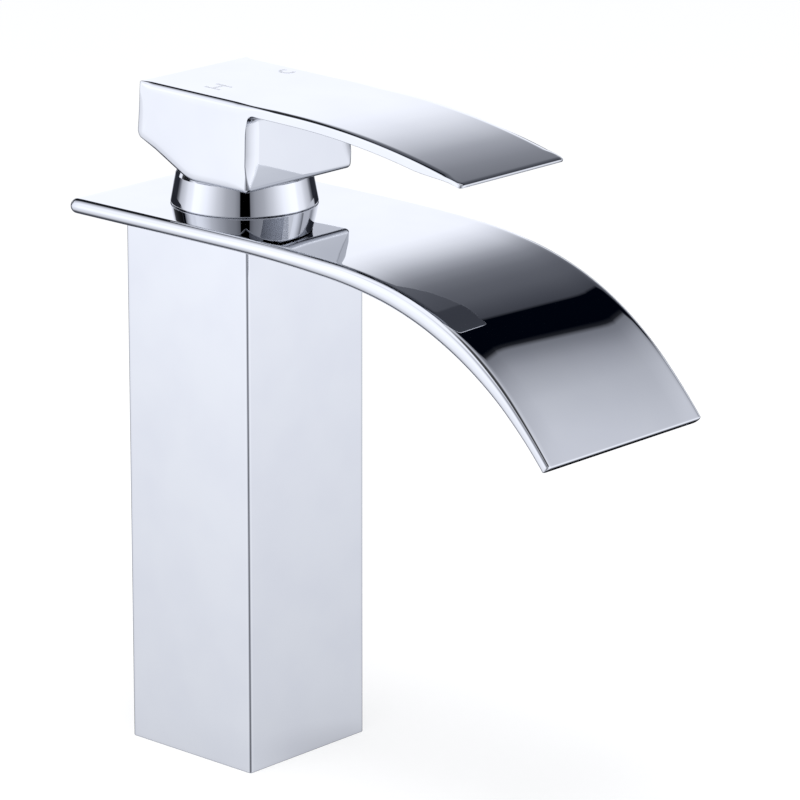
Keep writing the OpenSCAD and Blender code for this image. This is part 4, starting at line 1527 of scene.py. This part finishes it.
@dataclass
class Studio:
    """Camera, floor, light and the walls of the studio that the chrome mirrors.

    Pitch and bearing are degrees, and pitch is seen along the camera's right: 0 is level ahead, 90 overhead.
    Spans without a unit are sines: of the angle to the right, ahead or up.

    Attributes:
        azimuth: Camera's angle about Z.
        elevation: Camera's angle over the level.
        roll: Camera's turn about its axis.
        distance: From the camera to the target.
        target: Point that the camera looks at.
        focal_px: Focal length in pixels of the frame.
        frame_px: Width of the frame.
        sensor: Width of the sensor.
        white: Strength of the mirrored walls.
        soft: Strength of the light on all that is not a mirror.
        floor_glow: Strength of the floor's own white.
        strip_at: Bearing of the dark strip by the camera.
        pale_pitch: Straight ahead the far wall is as pale as here, down to the floor.
        ahead_to: How far aside that reaches.
        left_from: Where the left of the ceiling begins.
        left_low: Pitch over which its shade comes in.
        left_high: Pitch over which it goes, turned to negative.
        left_shade: How dark the shade is.
        right_from: Where the pale right end of the far wall begins.
        right_to: Pitch over which it ends.
        right_level: Grey of that end.
        widen_from: Height over which the strip narrows.
        widen_by: By how much it narrows.
        panel_low: Height over which a grey panel begins to cover the strip.
        panel_high: Height over which it ends.
        panel_bearing: Bearing whose grey the panel has.
        door: Half width of the door that stands open in the strip, down low.
        door_low: How far below the level it begins.
        door_level: Grey of what shows behind it.
        left_wall: Where the left wall begins, which is lit evenly.
        level: Where that stops below the level.
        top_from: Height from which the ceiling round the camera is even.
        top_level: Grey of that ceiling.
        steep_down: How steeply down the floor behind the column is seen.
        steep_ahead: How far ahead.
        steep_level: Grey of that floor.
        turn: Where the far wall takes over from the walls round the camera.
        horizon: Where it takes over from the floor.
        ends: Where it ends on either side.
        gap_at: Direction of the dark gap in the ceiling: ahead, right and up.
        gap_edge: Cosines of the gap's soft edge.
        gap_shade: How dark it is.
        far_wall: Levels by pitch: the pale wall, the ceiling, the black band under the lamp, and the lamp.
        walls: Levels by bearing from the strip; the side walls are the brightest.
        heights: Levels that dim the walls, by height.
        painted_floor_shade: Levels by metres from the foot: painted shade on the floor in the mirrored
            picture, darkest at the foot, in place of its shadow.
        foot: Centre of that painted shade, in metres.
        floor_reach: Half side of the floor, in metres.
        lamp_at: Place of the lamp, in metres.
        lamp_size: Width of the lamp, in metres.
        lamp_watts: Power of the lamp.
    """

    azimuth: float = -47.776
    elevation: float = 16.426
    roll: float = 0.107
    distance: float = 1287.9
    target: tuple[float, float, float] = (-0.188, -56.569, 107.506)
    focal_px: float = 4891.36
    frame_px: float = 800.0
    sensor: float = 36.0
    white: float = 1.75
    soft: float = 0.62
    floor_glow: float = 0.72
    strip_at: float = 2.5
    pale_pitch: float = 13.6
    ahead_to: Span = (0.12, 0.25)
    left_from: Span = (0.02, 0.06)
    left_low: Span = (20.0, 23.0)
    left_high: Span = (-47.0, -43.0)
    left_shade: float = 0.92
    right_from: Span = (0.62, 0.70)
    right_to: Span = (50.0, 54.0)
    right_level: int = 190
    widen_from: Span = (0.62, 0.68)
    widen_by: float = 8.5
    panel_low: Span = (0.14, 0.18)
    panel_high: Span = (0.50, 0.55)
    panel_bearing: float = 30.0
    door: Span = (1.6, 2.0)
    door_low: Span = (0.05, 0.08)
    door_level: int = 158
    left_wall: Span = (0.70, 0.85)
    level: Span = (-0.05, 0.05)
    top_from: Span = (0.70, 0.90)
    top_level: int = 236
    steep_down: Span = (0.33, 0.50)
    steep_ahead: Span = (0.2, 0.5)
    steep_level: int = 72
    turn: Span = (-0.01, 0.01)
    horizon: Span = (-0.004, 0.004)
    ends: Span = (0.90, 0.96)
    gap_at: tuple[float, float, float] = (-0.10, 0.45, 0.887)
    gap_edge: Span = (0.85, 0.94)
    gap_shade: float = 0.95
    far_wall: Table = (
        (0, 35), (11.3, 35), (13.2, 224), (17.5, 225), (19, 223), (21, 216), (23.3, 202), (25.6, 180),
        (27.8, 150), (31, 121), (34, 100), (37, 87), (40, 80), (43, 69), (45.7, 58), (46.1, 1), (52.7, 1),
        (53.1, 104), (54.4, 117), (56.3, 142), (58.1, 157), (59.7, 168), (62.7, 189), (66, 196), (70, 216),
        (78, 236), (180, 236),
    )
    walls: Table = (
        (0, 0), (7.7, 0), (8.3, 112), (16, 143), (30, 162), (38, 181), (45, 194), (55, 216), (63, 231),
        (77, 245), (88, 247), (93, 231), (103, 220), (110, 198), (122, 170), (128, 108), (135, 35), (160, 38),
        (172, 150), (176, 210), (180, 214),
    )
    heights: Table = ((-0.3, 242), (-0.03, 255), (0.1, 255), (0.276, 225), (0.616, 225), (0.9, 255))
    # Painted shade: the mirrored floor darkens towards the foot in place of its shadow
    painted_floor_shade: Table = (
        (0.012, 203), (0.03, 222), (0.06, 228), (0.15, 235), (0.265, 242), (0.4, 248), (0.5, 252), (0.6, 255),
    )
    foot: tuple[float, float, float] = (0.008, -0.009, 0.0)
    floor_reach: float = 30.0
    lamp_at: tuple[float, float, float] = (-0.25, -0.2, 1.3)
    lamp_size: float = 0.9
    lamp_watts: float = 9.0

    def level_axes(self) -> tuple[tuple[float, float, float], tuple[float, float, float]]:
        """Ahead and right of the camera, both level."""
        a = math.radians(self.azimuth)
        return (-math.sin(a), math.cos(a), 0.0), (math.cos(a), math.sin(a), 0.0)

    def axes(self) -> tuple[Vector, Vector, Vector]:
        """Turns the camera's axes by its azimuth, its elevation and its roll.

        Returns:
            Right, up and back of the camera.
        """
        a, e, r = (math.radians(v) for v in (self.azimuth, self.elevation, self.roll))
        back = Vector((math.sin(a) * math.cos(e), -math.cos(a) * math.cos(e), math.sin(e)))
        right = Vector((math.cos(a), math.sin(a), 0))
        up = back.cross(right)
        return right * math.cos(r) + up * math.sin(r), up * math.cos(r) - right * math.sin(r), back

    def camera(self) -> None:
        """Places the camera at the photograph's viewing angle."""
        data = bpy.data.cameras.new("camera")
        data.sensor_width = self.sensor
        data.lens = self.focal_px * self.sensor / self.frame_px
        data.clip_start, data.clip_end = 0.05, 50.0
        camera = bpy.data.objects.new("camera", data)
        bpy.context.scene.collection.objects.link(camera)
        right, up, back = self.axes()
        turn = np.array([right, up, back]).T
        camera.rotation_mode = "QUATERNION"
        camera.rotation_quaternion = Matrix(turn.tolist()).to_quaternion()
        camera.location = (Vector(self.target) + back * self.distance) * MM
        bpy.context.scene.camera = camera

    def far_side(self, tree: bpy.types.NodeTree, ahead: Socket, side: Socket, rise: Socket) -> Socket:
        """Colour of the far wall and the ceiling ahead, by pitch.

        Args:
            tree: Nodes of the world.
            ahead: Part of the direction ahead.
            side: Part to the right.
            rise: Part upwards.

        Returns:
            The colour.
        """
        add = partial(work_in, tree)
        pitch = add(Work.OVER, add(Work.ANGLE, rise, ahead), math.pi)
        aside = add(Work.STEP, add(Work.SIZE, side), *self.ahead_to)
        lowest = add(Work.TIMES, add(Work.LESS, 1.0, aside), self.pale_pitch / HALF_TURN)
        ramp = add(Work.RAMP, add(Work.LARGER, pitch, lowest)).node
        colour = fill_ramp(ramp, stops(self.far_wall, (0.0, HALF_TURN), cool_grey)).outputs["Color"]

        on_left = add(Work.STEP, add(Work.TIMES, side, -1.0), *self.left_from)
        begun = add(Work.STEP, pitch, *self.shares_of_turn(self.left_low))
        not_over = add(Work.STEP, add(Work.TIMES, pitch, -1.0), *self.shares_of_turn(self.left_high))
        shaded = add(Work.TIMES, add(Work.TIMES, on_left, begun), not_over)
        colour = add(Work.MIX, add(Work.TIMES, shaded, self.left_shade), colour, BLACK)

        over = add(Work.STEP, pitch, *self.shares_of_turn(self.right_to))
        right_end = add(Work.TIMES, add(Work.STEP, side, *self.right_from), add(Work.LESS, 1.0, over))
        return add(Work.MIX, right_end, colour, linear(cool_grey(self.right_level)))

    @staticmethod
    def shares_of_turn(span: Span) -> Span:
        """Span of pitch as shares of half a turn."""
        return span[0] / HALF_TURN, span[1] / HALF_TURN

    def near_side(self, tree: bpy.types.NodeTree, ahead: Socket, side: Socket, rise: Socket) -> Socket:
        """Colour of the walls round the camera and of everything below, by bearing.

        Args:
            tree: Nodes of the world.
            ahead: Part of the direction ahead.
            side: Part to the right.
            rise: Part upwards.

        Returns:
            The colour.
        """
        add = partial(work_in, tree)
        behind, left, down = (add(Work.TIMES, part, -1.0) for part in (ahead, side, rise))
        bearing = add(Work.ANGLE, side, behind)
        off_strip = add(Work.SIZE, add(Work.LESS, bearing, math.radians(self.strip_at)))
        narrower = add(Work.STEP, rise, *self.widen_from)
        off_strip = add(Work.TIMES_PLUS, narrower, math.radians(self.widen_by), off_strip)

        # The panel moves the strip's bearings up to one that is grey, and the door opens in what is left
        over = add(Work.STEP, rise, *self.panel_high)
        panel = add(Work.TIMES, add(Work.STEP, rise, *self.panel_low), add(Work.LESS, 1.0, over))
        panel = add(Work.TIMES, panel, math.radians(self.panel_bearing))
        off_strip = add(Work.LARGER, off_strip, panel)
        past_door = add(Work.STEP, off_strip, *(math.radians(edge) for edge in self.door))
        door = add(Work.TIMES, add(Work.LESS, 1.0, past_door), add(Work.STEP, down, *self.door_low))
        ramp = add(Work.RAMP, add(Work.OVER, off_strip, math.pi)).node
        walls = fill_ramp(ramp, stops(self.walls, (0.0, HALF_TURN), cool_grey)).outputs["Color"]
        walls = add(Work.MIX, door, walls, linear(cool_grey(self.door_level)))

        # Every wall is dimmed by height, apart from the left one
        ramp = add(Work.RAMP, add(Work.TIMES_PLUS, rise, 0.5, 0.5)).node
        dim = fill_ramp(ramp, stops(self.heights, (-1.0, 1.0), plain_grey)).outputs["Color"]
        is_left = add(Work.TIMES, add(Work.STEP, left, *self.left_wall), add(Work.STEP, rise, *self.level))
        colour = add(Work.MIX, is_left, add(Work.DIM, 1.0, walls, dim), walls)
        on_top = add(Work.STEP, rise, *self.top_from)
        colour = add(Work.MIX, on_top, colour, linear(cool_grey(self.top_level)))
        is_down, is_ahead = add(Work.STEP, down, *self.steep_down), add(Work.STEP, ahead, *self.steep_ahead)
        steep = add(Work.TIMES, is_down, is_ahead)
        return add(Work.MIX, steep, colour, linear(cool_grey(self.steep_level)))

    def world(self) -> None:
        """Lights the scene from far walls: a direction's colour comes from its pitch and its bearing.

        The chrome mirrors the walls, the camera sees plain white, and other rays get one soft colour.
        """
        world = bpy.data.worlds.new("studio")
        bpy.context.scene.world = world
        world.use_nodes = True
        tree = world.node_tree
        tree.nodes.clear()
        add = partial(work_in, tree)
        forward, right = self.level_axes()
        place = add_node(tree, "ShaderNodeTexCoord").outputs["Generated"]
        parts = [add(Work.ALONG, place, axis) for axis in (forward, right, UP)]
        ahead, side, rise = parts
        above = add(Work.TIMES, add(Work.STEP, ahead, *self.turn), add(Work.STEP, rise, *self.horizon))
        past_end = add(Work.STEP, add(Work.SIZE, side), *self.ends)
        is_far = add(Work.TIMES, above, add(Work.LESS, 1.0, past_end))
        seen = add(Work.MIX, is_far, self.near_side(tree, *parts), self.far_side(tree, *parts))

        # Dark gap in the ceiling, right of the lamp
        x, y, z = self.gap_at
        gap_axis = tuple(f * x + r * y + u * z for f, r, u in zip(forward, right, UP))
        gap = add(Work.STEP, add(Work.ALONG, place, gap_axis), *self.gap_edge)
        seen = add(Work.MIX, add(Work.TIMES, gap, self.gap_shade), seen, BLACK)

        ray = add_node(tree, "ShaderNodeLightPath").outputs
        mirrored, plain = add(Work.LIGHT, seen, self.white), add(Work.LIGHT, WHITE, 1.0)
        soft = add(Work.LIGHT, linear(SOFT_LIGHT), self.soft)
        lit = add(Work.EITHER, ray["Is Glossy Ray"], soft, mirrored)
        shown = add(Work.EITHER, ray["Is Camera Ray"], lit, plain)
        add_node(tree, "ShaderNodeOutputWorld", {"Surface": shown})

    def floor(self) -> None:
        """Lays the pale floor, which keeps the shadow.

        The chrome sees the walls through it, darkened near the foot by painted shade in place of the shadow
        there.
        """
        mesh = bpy.data.meshes.new("floor")
        r = self.floor_reach
        corners = [(-r, -r, 0), (r, -r, 0), (r, r, 0), (-r, r, 0)]
        mesh.from_pydata(corners, [], [(0, 1, 2, 3)])
        floor = bpy.data.objects.new("floor", mesh)
        bpy.context.scene.collection.objects.link(floor)
        made = bpy.data.materials.new("studio_floor")
        made.use_nodes = True
        tree = made.node_tree
        tree.nodes.clear()
        add = partial(work_in, tree)
        place = add_node(tree, "ShaderNodeTexCoord").outputs["Object"]
        # Painted shade: glossy rays pass the floor tinted darker near the foot, in place of its shadow
        ramp = add(Work.RAMP, add(Work.DISTANCE, place, self.foot)).node
        painted_shade = fill_ramp(ramp, stops(self.painted_floor_shade, (0.0, 1.0), plain_grey)).outputs["Color"]
        ray = add_node(tree, "ShaderNodeLightPath").outputs
        pale = add(Work.BOTH, add(Work.GLOW, WHITE, self.floor_glow), add(Work.PAINT, linear(FLOOR_GREY)))
        seen = add(Work.EITHER, ray["Is Glossy Ray"], pale, add(Work.CLEAR, painted_shade))
        add_node(tree, "ShaderNodeOutputMaterial", {"Surface": seen})
        mesh.materials.append(made)

    def lamp(self) -> None:
        """Hangs one soft lamp, which gives the shadow and stays out of the mirrored picture."""
        data = bpy.data.lights.new("soft_lamp", "AREA")
        data.shape, data.size, data.energy = "DISK", self.lamp_size, self.lamp_watts
        lamp = bpy.data.objects.new("soft_lamp", data)
        lamp.location = self.lamp_at
        lamp.rotation_mode = "QUATERNION"
        lamp.rotation_quaternion = Vector(lamp.location).to_track_quat("Z", "Y")
        lamp.visible_glossy = False
        bpy.context.scene.collection.objects.link(lamp)

    def build(self) -> None:
        """Builds the studio."""
        self.camera()
        self.world()
        self.floor()
        self.lamp()
        bpy.context.scene.view_settings.view_transform = "Standard"


# Finish of every CAD node that is shown as it is
NODE_FINISHES: dict[str, Finish] = {
    "valve_body": BRASS,
    "base_block": BRASS,
    "cartridge_nut": BRASS,
    "cartridge_stem": BRASS,
    "hot_riser_tube": COPPER,
    "cold_riser_tube": COPPER,
    "tie_bolts": STEEL,
    "pivot_pin": STEEL,
    "handle_set_screw": STEEL,
    "base_gasket": RUBBER,
    "riser_o_rings": RUBBER,
    "collar_o_ring": RUBBER,
    "cartridge_seals": RUBBER,
    "cartridge_housing": ACETAL,
    "cartridge_base": ACETAL,
    "disc_carrier": ACETAL,
    "cartridge_turret": BLUE,
    "ceramic_fixed_disc": ALUMINA,
    "ceramic_moving_disc": ALUMINA,
}


def dress_nodes() -> None:
    """Gives every CAD node that stays its finish."""
    made: dict[str, bpy.types.Material] = {}
    for node, finish in NODE_FINISHES.items():
        if finish.name not in made:
            made[finish.name] = finish.material()
        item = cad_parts[node]
        item.data.materials.clear()
        item.data.materials.append(made[finish.name])
        LOG.info("%s: %s", node, finish.name)


def main() -> None:
    """Builds the faucet and its studio."""
    logging.basicConfig(level=logging.INFO, format="%(name)s: %(message)s")
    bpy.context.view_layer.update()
    Studio().build()
    chrome = CHROME.material()
    Column().build(chrome)
    Spout().build(chrome)
    DomeCollar().build(chrome)
    lever = Lever()
    lever.build(chrome, ZINC.material(), ETCH.material())
    lever.build_cap(chrome)
    dress_nodes()


if __name__ == "__main__":
    main()
